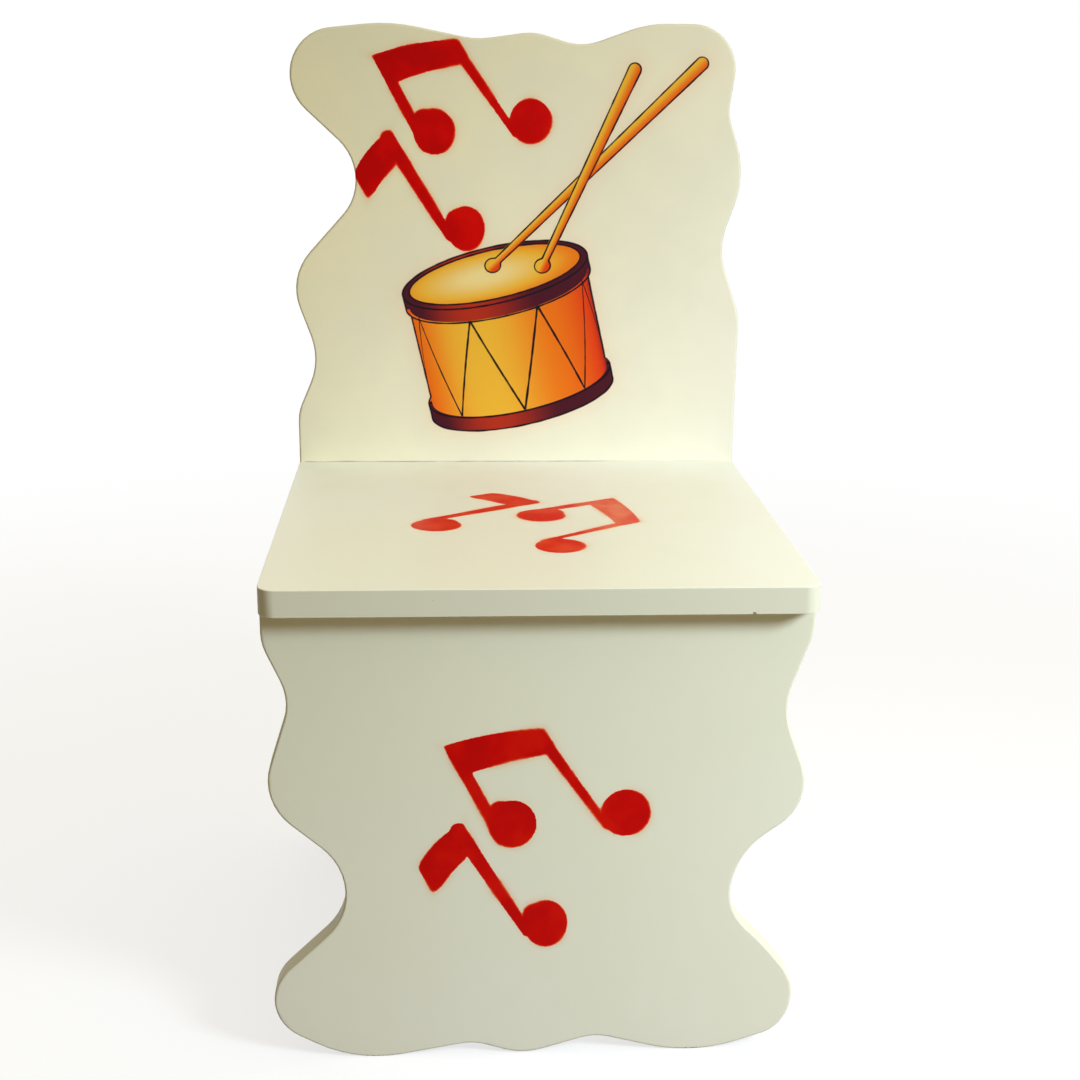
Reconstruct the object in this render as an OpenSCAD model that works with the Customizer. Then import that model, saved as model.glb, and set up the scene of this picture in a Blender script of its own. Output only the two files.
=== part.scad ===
// A child's music chair: a tall wavy back board and a short wavy front board stand on the floor
// and carry a flat seat. Two side rails and a lower stretcher tie the boards together behind the
// front board. Wooden dowels hold every joint that shows from the front, and long screws with
// push-in caps come in through the rear face of the back board.
// Millimetres, +Z up, +Y to the rear, origin on the floor under the middle of the chair.

/* [Overall] */
// Width of the seat and of both standing boards
seat_w = 315; // [300:1:360]
// Depth of the seat, from its front edge to the back board
seat_d = 296; // [260:1:340]
// Height of the seat's top above the floor
seat_h = 305; // [300:1:340]
// Height of the back board above the seat's top
back_h = 305; // [300:1:340]
// How far the seat stands out in front of the front board
seat_overhang = 15; // [5:1:30]

/* [Boards] */
// Thickness of the seat
seat_t = 16; // [14:0.5:20]
// Thickness of the back board
back_t = 16; // [14:0.5:20]
// Thickness of the front board
front_t = 16; // [14:0.5:20]
// Radius of the rounding along the edges of the two standing boards
edge_r = 1.5; // [1:0.5:5]
// Radius of the rounding along the seat's edges
seat_edge_r = 0.5; // [0.5:0.5:5]
// Radius of the seat's two front corners, seen from above
seat_corner_r = 10; // [6:1:20]
// Height of the thin slice sanded off under the lobes, so that they stand flat
foot_flat = 0.4; // [0.2:0.1:1]

/* [Rails] */
// Thickness of the side rails
rail_t = 16; // [14:0.5:20]
// Height of the side rails
rail_h = 60; // [48:1:90]
// Distance from the seat's side to a side rail's outer face
rail_inset = 32; // [20:1:50]
// Thickness of the lower stretcher
stretcher_t = 16; // [14:0.5:20]
// Height of the lower stretcher
stretcher_h = 70; // [48:1:90]
// Height of the stretcher's lower edge above the floor
stretcher_z = 75; // [40:1:120]
// Width of the chamfer along the rails' and the stretcher's free edges
arris = 1.5; // [0.5:0.5:3]

/* [Dowels] */
// Diameter of the dowels
dowel_d = 8; // [6:1:10]
// How deep a dowel goes into the face of a board
dowel_in_face = 10; // [8:0.5:12]
// How deep a dowel goes into the edge or the end of a board
dowel_in_edge = 20; // [15:1:26]
// Glue gap all round a dowel
dowel_gap = 0.1; // [0.05:0.05:0.3]
// Distance from a side rail to the nearest dowel between the seat and the front board
seat_dowel_gap = 25; // [15:1:40]
// Distance from either end of a side rail to the dowel that holds the seat on it
rail_dowel_gap = 52; // [50:1:90]
// Distance between the two fixings at each end of a rail
end_fixing_span = 32; // [24:1:34]

/* [Screws] */
// Distance from a side rail to the nearest screw in the seat's rear edge
seat_screw_gap = 25; // [15:1:40]
// Diameter of a screw's head
head_d = 10; // [9:0.5:11]
// Depth of the flat rim on a screw's head
head_rim = 1; // [0.6:0.2:2]
// Diameter of the plain shoulder behind the head
shoulder_d = 7; // [6:0.5:8]
// Depth to which the shoulder reaches, measured from the board's rear face
shoulder_l = 11; // [8:0.5:13]
// Core diameter of the threaded shank
core_d = 5; // [4:0.5:5.5]
// Full length of a screw
screw_l = 50; // [40:1:60]
// Width across the flats of the hexagon socket
socket_af = 4; // [3:0.5:5]
// Depth of the hexagon socket
socket_l = 3; // [2:0.5:4]
// Clearance all round a screw
screw_gap = 0.15; // [0.1:0.05:0.4]
// Diameter of a cover cap
cap_d = 13; // [12:0.5:16]
// How far a cover cap stands proud of the board
cap_proud = 1.2; // [0.8:0.1:2]

/* [Hidden] */

$fn = 48;
cream = [0.93, 0.91, 0.80];
beech = [0.80, 0.64, 0.44];
steel = [0.72, 0.73, 0.75];
ivory = [0.90, 0.87, 0.74];
// How far a cutting body runs past the face that it cuts
past = 1;

// Places along the depth of the chair, from the front edge of the seat to the rear of the caps
y_seat = -(seat_d + back_t + cap_proud) / 2;
y_front = y_seat + seat_overhang;
y_rail = y_front + front_t;
y_back = y_seat + seat_d;
y_rear = y_back + back_t;
rail_l = y_back - y_rail;

// Places across the chair and up it
half_w = seat_w / 2;
rail_x = half_w - rail_inset - rail_t / 2;
seat_under = seat_h - seat_t;
top_z = seat_h + back_h;

// Both standing boards have a wavy edge. A wave is [place, depth, radius]: its place along the
// edge, how deep its crest or hollow lies inside the board's straight side, and the radius of
// the arc there, which is negative in a hollow. Straight runs join one arc to the next.

// Waves down the sides, with the place measured from the seat's top
upper_right = [[100, 0, 38], [154, 14, -50], [205, 3, 64], [249, 13, -26]];
upper_left = [[30, 0, 31], [76, 13, -46], [124, 1, 38], [200, 44, -36]];
lower_left = [[30, 0, 31], [73, 13, -34], [122, 1, 36], [194, 44, -40]];
lower_right = [[28, 0, 30], [78, 13, -46], [127, 0, 33], [198, 41, -48]];

// Corner lobes, as [depth inside the side, depth inside the top or the floor, radius]
top_right_lobe = [10, 0, 30];
top_left_lobe = [1, 5, 31];
left_foot_lobe = [0, 12, 28];
right_foot_lobe = [0, 9, 24];

// Waves along the top and the floor, with the place measured from the middle of the board
top_waves = [[100, 0, 74], [41, 14, -40], [6, 7, 38], [-29, 11, -59], [-93, 2, 120]];
foot_waves = [[-95, 0, 78], [-40, 8, -32], [-7, 1, 40], [37, 11, -30], [95, 0, 95]];

// All of these are drawn for a board of this width and of this height above or below the seat.
// In a larger board the waves spread out, and in a smaller one they also draw tighter.
wave_w = 315;
wave_h = 305;
tight = min(1, seat_w / wave_w, back_h / wave_h, seat_h / wave_h);

// The arcs' circles as [across, up, radius], anticlockwise round the board seen from the front
function reversed(list) = [for (i = [len(list) - 1 : -1 : 0]) list[i]];
function inside(depth, radius) = tight * (depth + radius);
function side_arcs(waves, side, reach) = [for (w = waves)
    [side * (half_w - inside(w[1], w[2])), seat_h + w[0] * reach / wave_h, tight * w[2]]];
function top_arcs() = [for (w = top_waves)
    [w[0] * seat_w / wave_w, top_z - inside(w[1], w[2]), tight * w[2]]];
function foot_arcs() = [for (w = foot_waves)
    [w[0] * seat_w / wave_w, inside(w[1], w[2]) - foot_flat, tight * w[2]]];
function top_lobe(lobe, side) = [[side * (half_w - inside(lobe[0], lobe[2])),
    top_z - inside(lobe[1], lobe[2]), tight * lobe[2]]];
function foot_lobe(lobe, side) = [[side * (half_w - inside(lobe[0], lobe[2])),
    inside(lobe[1], lobe[2]) - foot_flat, tight * lobe[2]]];

function upper_row() = concat(side_arcs(upper_right, 1, back_h), top_lobe(top_right_lobe, 1),
    top_arcs(), top_lobe(top_left_lobe, -1), reversed(side_arcs(upper_left, -1, back_h)));
function lower_row() = concat(side_arcs(lower_left, -1, -seat_h), foot_lobe(left_foot_lobe, -1),
    foot_arcs(), foot_lobe(right_foot_lobe, 1), reversed(side_arcs(lower_right, 1, -seat_h)));

// A square end that is drawn too long and cut off level later
function square_end(far) = [[half_w - seat_corner_r, far, seat_corner_r],
    [seat_corner_r - half_w, far, seat_corner_r]];
function back_row() = concat(upper_row(), lower_row());
function front_row() = concat(square_end(seat_h + 2 * seat_corner_r), lower_row());
function seat_row() = concat(square_end(y_back + 2 * seat_corner_r),
    reversed(square_end(y_seat + seat_corner_r)));

// Direction of the straight run that touches circle a and then circle b
function heading(a, b) = let (across = b[0] - a[0], up = b[1] - a[1])
    atan2(up, across) - asin(max(-1, min(1, (b[2] - a[2]) / norm([across, up]))));
function half_turn(angle) = angle - 360 * round(angle / 360);
// Point at which an edge, drawn inset from the true one, leaves a circle in a given direction
function on_arc(c, way, inset) =
    [c[0] + (c[2] - inset) * sin(way), c[1] - (c[2] - inset) * cos(way)];
// Number of chords that keeps an arc this near to its true curve
arc_error = 0.1;
function chords(radius, turn) =
    max(1, ceil(abs(turn) / (2 * acos(1 - arc_error / abs(radius)))));
// The closed outline along a row of circles, as far inside the true one as the inset
function outline(row, inset) = let (n = len(row)) [for (i = [0 : n - 1])
    let (c = row[i], from = heading(row[(i + n - 1) % n], c),
        turn = half_turn(heading(c, row[(i + 1) % n]) - from), steps = chords(c[2], turn))
    for (k = [0 : steps]) on_arc(c, from + turn * k / steps, inset)];

// Section of a rim with rounded edges of radius r, as [inset, height] from the lower face to the
// upper face. Its inner wall laps this far into the flat middle of the board.
rim_steps = 3;
rim_lap = 0.5;
function rim_section(t, r) = let (quarter = [for (k = [0 : rim_steps]) 90 * k / rim_steps]) concat(
    [[r + rim_lap, 0]],
    [for (a = quarter) [r * (1 - sin(a)), r * (1 - cos(a))]],
    [for (a = quarter) [r * (1 - cos(a)), t - r * (1 - sin(a))]],
    [[r + rim_lap, t]]);

// Ring with a rounded outer edge round a board
module rim(row, t, r) {
    section = rim_section(t, r);
    rings = [for (s = section) outline(row, s[0])];
    n = len(rings[0]);
    m = len(section);
    points = [for (j = [0 : m - 1]) for (p = rings[j]) [p[0], p[1], section[j][1]]];
    faces = [for (j = [0 : m - 1]) for (i = [0 : n - 1])
        let (here = j * n + i, beside = j * n + (i + 1) % n, up = ((j + 1) % m) * n,
            above = up + i, corner = up + (i + 1) % n)
        for (f = [[here, above, beside], [beside, above, corner]]) f];
    polyhedron(points = points, faces = faces);
}

// Flat board with edges of radius r all round, lying on its face
module eased_board(row, t, r) {
    rim(row, t, r);
    linear_extrude(height = t) polygon(outline(row, r));
}

// Board stood up on its lower edge, with its front face at y
module standing_board(row, t, y) {
    translate([0, y + t, 0]) rotate([90, 0, 0]) eased_board(row, t, edge_r);
}

// Everything below the floor
module below_floor() {
    reach = seat_w + seat_d;
    translate([-reach, -reach, -reach]) cube([2 * reach, 2 * reach, reach]);
}

// Rail or stretcher along +Y from the front board to the back board, round the middle of x,
// with chamfers along its lower edges, and along its upper ones where it carries nothing
module rail_bar(t, h, upper_arris) {
    x = t / 2;
    u = upper_arris;
    translate([0, y_back, 0]) rotate([90, 0, 0]) linear_extrude(height = rail_l)
        polygon([[-x + arris, 0], [x - arris, 0], [x, arris], [x, h - u], [x - u, h],
            [-x + u, h], [-x, h - u], [-x, arris]]);
}

// Dowel along +Y, with the face of the board that it leaves at the origin
dowel_chamfer = 0.8;
module dowel() {
    length = dowel_in_face + dowel_in_edge;
    r = dowel_d / 2;
    c = dowel_chamfer;
    color(beech) translate([0, -dowel_in_face, 0]) rotate([-90, 0, 0]) rotate_extrude()
        polygon([[0, 0], [r - c, 0], [r, c], [r, length - c], [r - c, length], [0, length]]);
}

// Its hole, a little longer at either end
dowel_end_gap = 0.3;
module dowel_hole() {
    translate([0, -dowel_in_face - dowel_end_gap, 0]) rotate([-90, 0, 0])
        cylinder(d = dowel_d + 2 * dowel_gap, h = dowel_in_face + dowel_in_edge + 2 * dowel_end_gap);
}

// Half section of a screw from above its head down to its tip, grown by the gap
module screw_profile(gap, above) {
    head = head_d / 2;
    shoulder = shoulder_d / 2;
    core = core_d / 2;
    cone_end = head_rim + head - shoulder;
    polygon([[0, -above], [head + gap, -above], [head + gap, head_rim],
        [shoulder + gap, cone_end], [shoulder + gap, shoulder_l + gap],
        [core + gap, shoulder_l + gap], [core + gap, screw_l - core + gap], [0, screw_l + gap]]);
}

// Screw along -Y, with its head level with the rear face at the origin
module screw() {
    color(steel) rotate([90, 0, 0]) difference() {
        rotate_extrude() screw_profile(0, 0);
        translate([0, 0, -past]) cylinder(d = socket_af / cos(30), h = socket_l + past, $fn = 6);
    }
}

module screw_hole() {
    rotate([90, 0, 0]) rotate_extrude() screw_profile(screw_gap, past);
}

// Cap over a screw's head: a shallow dome with a hexagon peg that fits the screw's socket
cap_rim = 0.4;
peg_gap = 0.1;
module cap() {
    color(ivory) rotate([-90, 0, 0]) {
        rotate_extrude() cap_profile();
        translate([0, 0, peg_gap - socket_l])
            cylinder(d = (socket_af - 2 * peg_gap) / cos(30), h = socket_l - peg_gap, $fn = 6);
    }
}

// Half section of the dome, cut from a circle that leaves a thin upright rim. The dome is a small
// share of a large circle, so that circle takes more chords than the rest.
dome_fn = 128;
module cap_profile() {
    r = cap_d / 2;
    rise = cap_proud - cap_rim;
    dome_r = (r * r + rise * rise) / (2 * rise);
    intersection() {
        square([r, cap_proud]);
        translate([0, cap_proud - dome_r]) circle(r = dome_r, $fn = dome_fn);
    }
}

// Places of the fixings, where a child module is put at each. A dowel or a screw in an upper
// edge points down.
module at_places(places) {
    for (p = places) translate(p) children();
}

// Three places in line, with the outer two this far from the side rails
function seat_fixing_x(gap) = [for (k = [-1, 0, 1]) k * (rail_x - rail_t / 2 - gap)];
// Two places one above the other at each end of a rail
function end_fixing_z(middle) = [for (k = [-1, 1]) middle + k * end_fixing_span / 2];
rail_end_z = end_fixing_z(seat_under - rail_h / 2);
stretcher_end_z = end_fixing_z(stretcher_z + stretcher_h / 2);
rail_top_y = [y_rail + rail_dowel_gap, y_back - rail_dowel_gap];

module at_seat_front() {
    at_places([for (x = seat_fixing_x(seat_dowel_gap)) [x, y_front + front_t / 2, seat_under]])
        rotate([-90, 0, 0]) children();
}

module at_rail_top(side) {
    at_places([for (y = rail_top_y) [side * rail_x, y, seat_under]]) rotate([-90, 0, 0]) children();
}

module at_rail_front(side) {
    at_places([for (z = rail_end_z) [side * rail_x, y_rail, z]]) children();
}

module at_stretcher_front() {
    at_places([for (z = stretcher_end_z) [0, y_rail, z]]) children();
}

module at_seat_rear() {
    at_places([for (x = seat_fixing_x(seat_screw_gap)) [x, y_rear, seat_h - seat_t / 2]]) children();
}

module at_rail_rear(side) {
    at_places([for (z = rail_end_z) [side * rail_x, y_rear, z]]) children();
}

module at_stretcher_rear() {
    at_places([for (z = stretcher_end_z) [0, y_rear, z]]) children();
}

// The boards

module back_board() {
    color(cream) difference() {
        standing_board(back_row(), back_t, y_back);
        below_floor();
        at_seat_rear() screw_hole();
        for (side = [-1, 1]) at_rail_rear(side) screw_hole();
        at_stretcher_rear() screw_hole();
    }
}

module front_board() {
    color(cream) difference() {
        standing_board(front_row(), front_t, y_front);
        below_floor();
        translate([-seat_w, y_front - past, seat_under])
            cube([2 * seat_w, front_t + 2 * past, seat_t + 4 * seat_corner_r]);
        at_seat_front() dowel_hole();
        for (side = [-1, 1]) at_rail_front(side) dowel_hole();
        at_stretcher_front() dowel_hole();
    }
}

module seat_board() {
    color(cream) difference() {
        translate([0, 0, seat_under]) eased_board(seat_row(), seat_t, seat_edge_r);
        translate([-seat_w, y_back, seat_under - past])
            cube([2 * seat_w, 4 * seat_corner_r, seat_t + 2 * past]);
        at_seat_front() dowel_hole();
        for (side = [-1, 1]) at_rail_top(side) dowel_hole();
        at_seat_rear() screw_hole();
    }
}

module side_rail(side) {
    color(cream) difference() {
        translate([side * rail_x, 0, seat_under - rail_h]) rail_bar(rail_t, rail_h, 0);
        at_rail_top(side) dowel_hole();
        at_rail_front(side) dowel_hole();
        at_rail_rear(side) screw_hole();
    }
}

module left_side_rail() {
    side_rail(-1);
}

module right_side_rail() {
    side_rail(1);
}

module lower_stretcher() {
    color(cream) difference() {
        translate([0, 0, stretcher_z]) rail_bar(stretcher_t, stretcher_h, arris);
        at_stretcher_front() dowel_hole();
        at_stretcher_rear() screw_hole();
    }
}

// The dowels

module seat_front_dowels() {
    at_seat_front() dowel();
}

module left_rail_front_dowels() {
    at_rail_front(-1) dowel();
}

module right_rail_front_dowels() {
    at_rail_front(1) dowel();
}

module left_rail_seat_dowels() {
    at_rail_top(-1) dowel();
}

module right_rail_seat_dowels() {
    at_rail_top(1) dowel();
}

module stretcher_front_dowels() {
    at_stretcher_front() dowel();
}

// The screws and their caps

module seat_rear_screws() {
    at_seat_rear() screw();
}

module left_rail_rear_screws() {
    at_rail_rear(-1) screw();
}

module right_rail_rear_screws() {
    at_rail_rear(1) screw();
}

module stretcher_rear_screws() {
    at_stretcher_rear() screw();
}

module seat_screw_caps() {
    at_seat_rear() cap();
}

module left_rail_screw_caps() {
    at_rail_rear(-1) cap();
}

module right_rail_screw_caps() {
    at_rail_rear(1) cap();
}

module stretcher_screw_caps() {
    at_stretcher_rear() cap();
}

back_board();
front_board();
seat_board();
left_side_rail();
right_side_rail();
lower_stretcher();
seat_front_dowels();
left_rail_front_dowels();
right_rail_front_dowels();
left_rail_seat_dowels();
right_rail_seat_dowels();
stretcher_front_dowels();
seat_rear_screws();
left_rail_rear_screws();
right_rail_rear_screws();
stretcher_rear_screws();
seat_screw_caps();
left_rail_screw_caps();
right_rail_screw_caps();
stretcher_screw_caps();
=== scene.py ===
"""Looks of a small painted chair: satin lacquer, sprayed figures, fixings and a plain stage."""

import math

import bmesh
import bpy
from bpy.props import FloatProperty, FloatVectorProperty, IntProperty, PointerProperty
from mathutils import Matrix, Vector


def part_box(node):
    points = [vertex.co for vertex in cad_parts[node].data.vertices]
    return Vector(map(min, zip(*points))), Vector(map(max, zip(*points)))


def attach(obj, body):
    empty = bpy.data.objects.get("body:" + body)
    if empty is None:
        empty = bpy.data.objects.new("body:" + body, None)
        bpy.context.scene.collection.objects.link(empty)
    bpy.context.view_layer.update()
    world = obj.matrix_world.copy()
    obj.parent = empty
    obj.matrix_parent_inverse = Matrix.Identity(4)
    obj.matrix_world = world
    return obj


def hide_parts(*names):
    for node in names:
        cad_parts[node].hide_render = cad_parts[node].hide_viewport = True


bl_info = {
    "name": "Music chair finish",
    "version": (1, 0, 0),
    "blender": (4, 5, 0),
    "location": "View3D > Sidebar > Music Chair",
    "description": "Lacquer, painted figures, fixings and stage for a small chair",
    "category": "Object",
}

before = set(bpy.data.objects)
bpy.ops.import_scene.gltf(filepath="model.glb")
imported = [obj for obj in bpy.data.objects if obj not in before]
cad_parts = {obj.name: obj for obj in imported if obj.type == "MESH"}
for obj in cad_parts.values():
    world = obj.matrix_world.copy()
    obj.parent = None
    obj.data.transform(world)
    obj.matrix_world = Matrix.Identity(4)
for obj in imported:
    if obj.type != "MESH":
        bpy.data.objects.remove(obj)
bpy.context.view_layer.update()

# Shaders work in millimetres, and everything else in metres
TO_MM = 1000.0
MM = 0.001
BODY = "root"

# Boxes of the painted boards
BACK_LOW, BACK_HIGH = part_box("back_board")
FRONT_LOW, FRONT_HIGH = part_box("front_board")
SEAT_LOW, SEAT_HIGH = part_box("seat_board")

# Axes, and ways along them
ACROSS, REARWARD, UPWARD = 0, 1, 2
RIGHT, REAR, UP = (1.0, 0.0, 0.0), (0.0, 1.0, 0.0), (0.0, 0.0, 1.0)
FORWARD, DOWN = (0.0, -1.0, 0.0), (0.0, 0.0, -1.0)
WHITE = (1.0, 1.0, 1.0)


# Properties that a user would change


def colour(label, text, default):
    return FloatVectorProperty(name=label, description=text, subtype="COLOR", size=3,
                               min=0.0, max=1.0, default=default)


def length(label, text, default):
    return FloatProperty(name=label, description=text, unit="LENGTH", precision=5, default=default)


def angle(label, text, degrees):
    return FloatProperty(name=label, description=text, unit="ROTATION",
                         default=math.radians(degrees))


def place(label, text, default):
    return FloatVectorProperty(name=label, description=text, subtype="TRANSLATION",
                               size=len(default), unit="LENGTH", precision=4, default=default)


def amount(label, text, default, **more):
    return FloatProperty(name=label, description=text, default=default, **more)


class ChairColours(bpy.types.PropertyGroup):
    """Colours of the lacquer, the paints and the fixings."""

    # The front and seat lacquers each go from a darker, yellower colour to a lighter one: painted
    # shade under the seat and at the seat's front left, painted light near the floor and at the
    # seat's rear right
    front_shaded_top: colour("Front, top", "Lacquer of the front under the seat", (0.785, 0.775, 0.585))
    front_lit_foot: colour("Front, foot", "Lacquer of the front near the floor", (0.86, 0.86, 0.72))
    seat_shaded_near: colour("Seat, near", "Lacquer of the seat at its front left", (0.82, 0.80, 0.645))
    seat_lit_far: colour("Seat, far", "Lacquer of the seat at its rear right", (0.88, 0.895, 0.80))
    lacquer_shade: colour("Lacquer shade", "Slightly yellower stretches of it", (0.83, 0.805, 0.62))
    # The back's two lacquers are painted shade at its upper left and painted light at its lower
    # right
    back_shaded_top: colour("Back, top", "Lacquer of the back at its upper left", (0.955, 0.87, 0.53))
    back_lit_foot: colour("Back, foot", "Lacquer of the back at its lower right", (0.965, 0.93, 0.755))
    # Darker edge colour: partly lacquer sunk into the cut edges, partly painted shade on the edges
    # and side walls
    edge_lacquer_and_shade: colour("Edge lacquer", "Lacquer sunk into the cut edges", (0.735, 0.72, 0.555))
    rail_lacquer: colour("Rail lacquer", "Single coat on the rails", (0.82, 0.795, 0.63))
    fibre: colour("Fibreboard", "Bare board where the lacquer is rubbed", (0.36, 0.25, 0.13))
    # This darker colour is laid along the filler's crack and beside it as painted shade; the bead
    # itself takes the back's foot colour
    filler: colour("Filler", "Filler in the joint behind the seat", (0.40, 0.35, 0.22))
    red: colour("Red", "Share of light that a full coat of the notes' paint leaves",
                (0.78, 0.0046, 0.0004))
    yellow: colour("Yellow", "Lightest paint of the drum", (0.93, 0.50, 0.04))
    orange: colour("Orange", "Middle paint of the drum", (0.92, 0.20, 0.010))
    vermilion: colour("Vermilion", "Darker paint of the drum", (0.82, 0.050, 0.008))
    maroon: colour("Maroon", "Paint of the drum's hoops", (0.070, 0.008, 0.018))
    ink: colour("Ink", "Outlines of the drum", (0.008, 0.004, 0.008))
    beech: colour("Beech", "Bare wood of the dowels", (0.66, 0.44, 0.24))
    beech_fleck: colour("Beech fleck", "Rays and pores in it", (0.42, 0.24, 0.11))
    zinc: colour("Zinc", "Plating of the screws", (0.70, 0.71, 0.73))
    zinc_dull: colour("Dull zinc", "The plating where it has dulled", (0.50, 0.49, 0.44))
    cap: colour("Cap", "Moulded plastic of the caps", (0.84, 0.82, 0.66))


class ChairFinish(bpy.types.PropertyGroup):
    """Surface detail of the lacquer and of the sprayed paint."""

    peel_height: length("Peel height", "Height of the lacquer's orange peel", 0.00003)
    spray_edge: length("Spray edge", "Width over which a stencilled edge fades", 0.0008)
    overspray: length("Overspray", "Reach of the mist round a stencilled figure", 0.0016)
    ink_line: length("Ink line", "Width of the drum's outlines", 0.0015)


class PaintPlaces(bpy.types.PropertyGroup):
    """Where the painted figures stand, across and up each board."""

    back_notes: place("Notes on the back", "Beam's corner, across and above the seat",
                      (-0.1004, 0.2812))
    back_tilt: angle("Tilt on the back", "Turn of these notes", 1.2)
    front_notes: place("Notes in front", "Beam's corner, across and above the floor",
                       (-0.0550, 0.2045))
    front_tilt: angle("Tilt in front", "Turn of these notes", 0.0)
    seat_notes: place("Notes on the seat", "Beam's corner, across and to the rear",
                      (0.0584, 0.0358))
    seat_tilt: angle("Tilt on the seat", "Turn of these notes", -89.0)
    seat_size: amount("Size on the seat", "Size of these notes, 1 for that of the others", 1.026)
    drum: place("Drum", "Its middle, across and above the seat", (-0.0070, 0.0910))
    drum_tilt: angle("Tilt of the drum", "Turn of the drum", 13.0)


class ChairFixings(bpy.types.PropertyGroup):
    """Sizes of the dowels' flutes, the screws' thread and the filler bead."""

    flutes: IntProperty(name="Flutes", description="Grooves round a dowel", default=16, min=6)
    flute_depth: length("Flute depth", "Depth of a dowel's grooves", 0.00025)
    dowel_chamfer: length("Dowel chamfer", "Chamfer at a dowel's ends", 0.0008)
    pitch: length("Pitch", "Distance from one turn of the thread to the next", 0.003)
    thread: length("Thread", "Height of the thread on the shank", 0.0010)
    bead: length("Bead", "Radius of the filler bead behind the seat", 0.0009)


class ChairStage(bpy.types.PropertyGroup):
    """Camera, lamp, sky and floor."""

    camera: place("Camera", "Place of the camera", (-0.0553, -0.9933, 0.5818))
    pitch: angle("Pitch", "How far the camera looks down", 16.519)
    yaw: angle("Yaw", "How far it looks to the chair's right", 3.654)
    roll: angle("Roll", "How far it leans", 0.731)
    lens: amount("Lens", "Focal length", 53.333, unit="CAMERA")
    key: place("Key lamp", "Place of the lamp", (0.913, -0.864, 0.92))
    key_size: length("Key size", "Side of the square lamp", 0.34)
    key_spread: angle("Key spread", "Angle that the lamp lights", 100.0)
    key_power: amount("Key power", "Power of the lamp", 6.65, unit="POWER")
    key_colour: colour("Key colour", "Colour of the lamp", (0.74, 0.86, 1.0))
    key_aim: place("Key aim", "Point that it is aimed at, across and up", (0.03, -0.12))
    dim_sky: amount("Dim sky", "Strength of the sky near the ground", 0.15)
    dim_sky_colour: colour("Dim sky colour", "Colour near the ground", (1.0, 0.80, 0.46))
    high_sky: amount("High sky", "Strength of the sky overhead", 1.07)
    high_sky_colour: colour("High sky colour", "Colour overhead", (1.0, 0.90, 0.65))
    rear_sky: amount("Rear sky", "Strength of the sky behind the chair", 2.0)
    rear_sky_colour: colour("Rear sky colour", "Colour behind the chair", (0.98, 0.96, 0.90))
    floor_colour: colour("Floor colour", "Colour that the floor throws back", (0.32, 0.26, 0.19))
    floor_radius: length("Floor radius", "Radius of the floor", 6.0)


# Building node trees


class Term:
    """A number socket that can stand in a plain formula, which adds the Math nodes for it."""

    def __init__(self, nodes, socket):
        self.nodes = nodes
        self.socket = socket

    def __add__(self, other):
        return self.nodes.math("ADD", self, other)

    def __sub__(self, other):
        return self.nodes.math("SUBTRACT", self, other)

    def __rsub__(self, other):
        return self.nodes.math("SUBTRACT", other, self)

    def __mul__(self, other):
        return self.nodes.math("MULTIPLY", self, other)

    def __truediv__(self, other):
        return self.nodes.math("DIVIDE", self, other)

    def __abs__(self):
        return self.nodes.math("ABSOLUTE", self)

    __radd__ = __add__
    __rmul__ = __mul__


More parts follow.
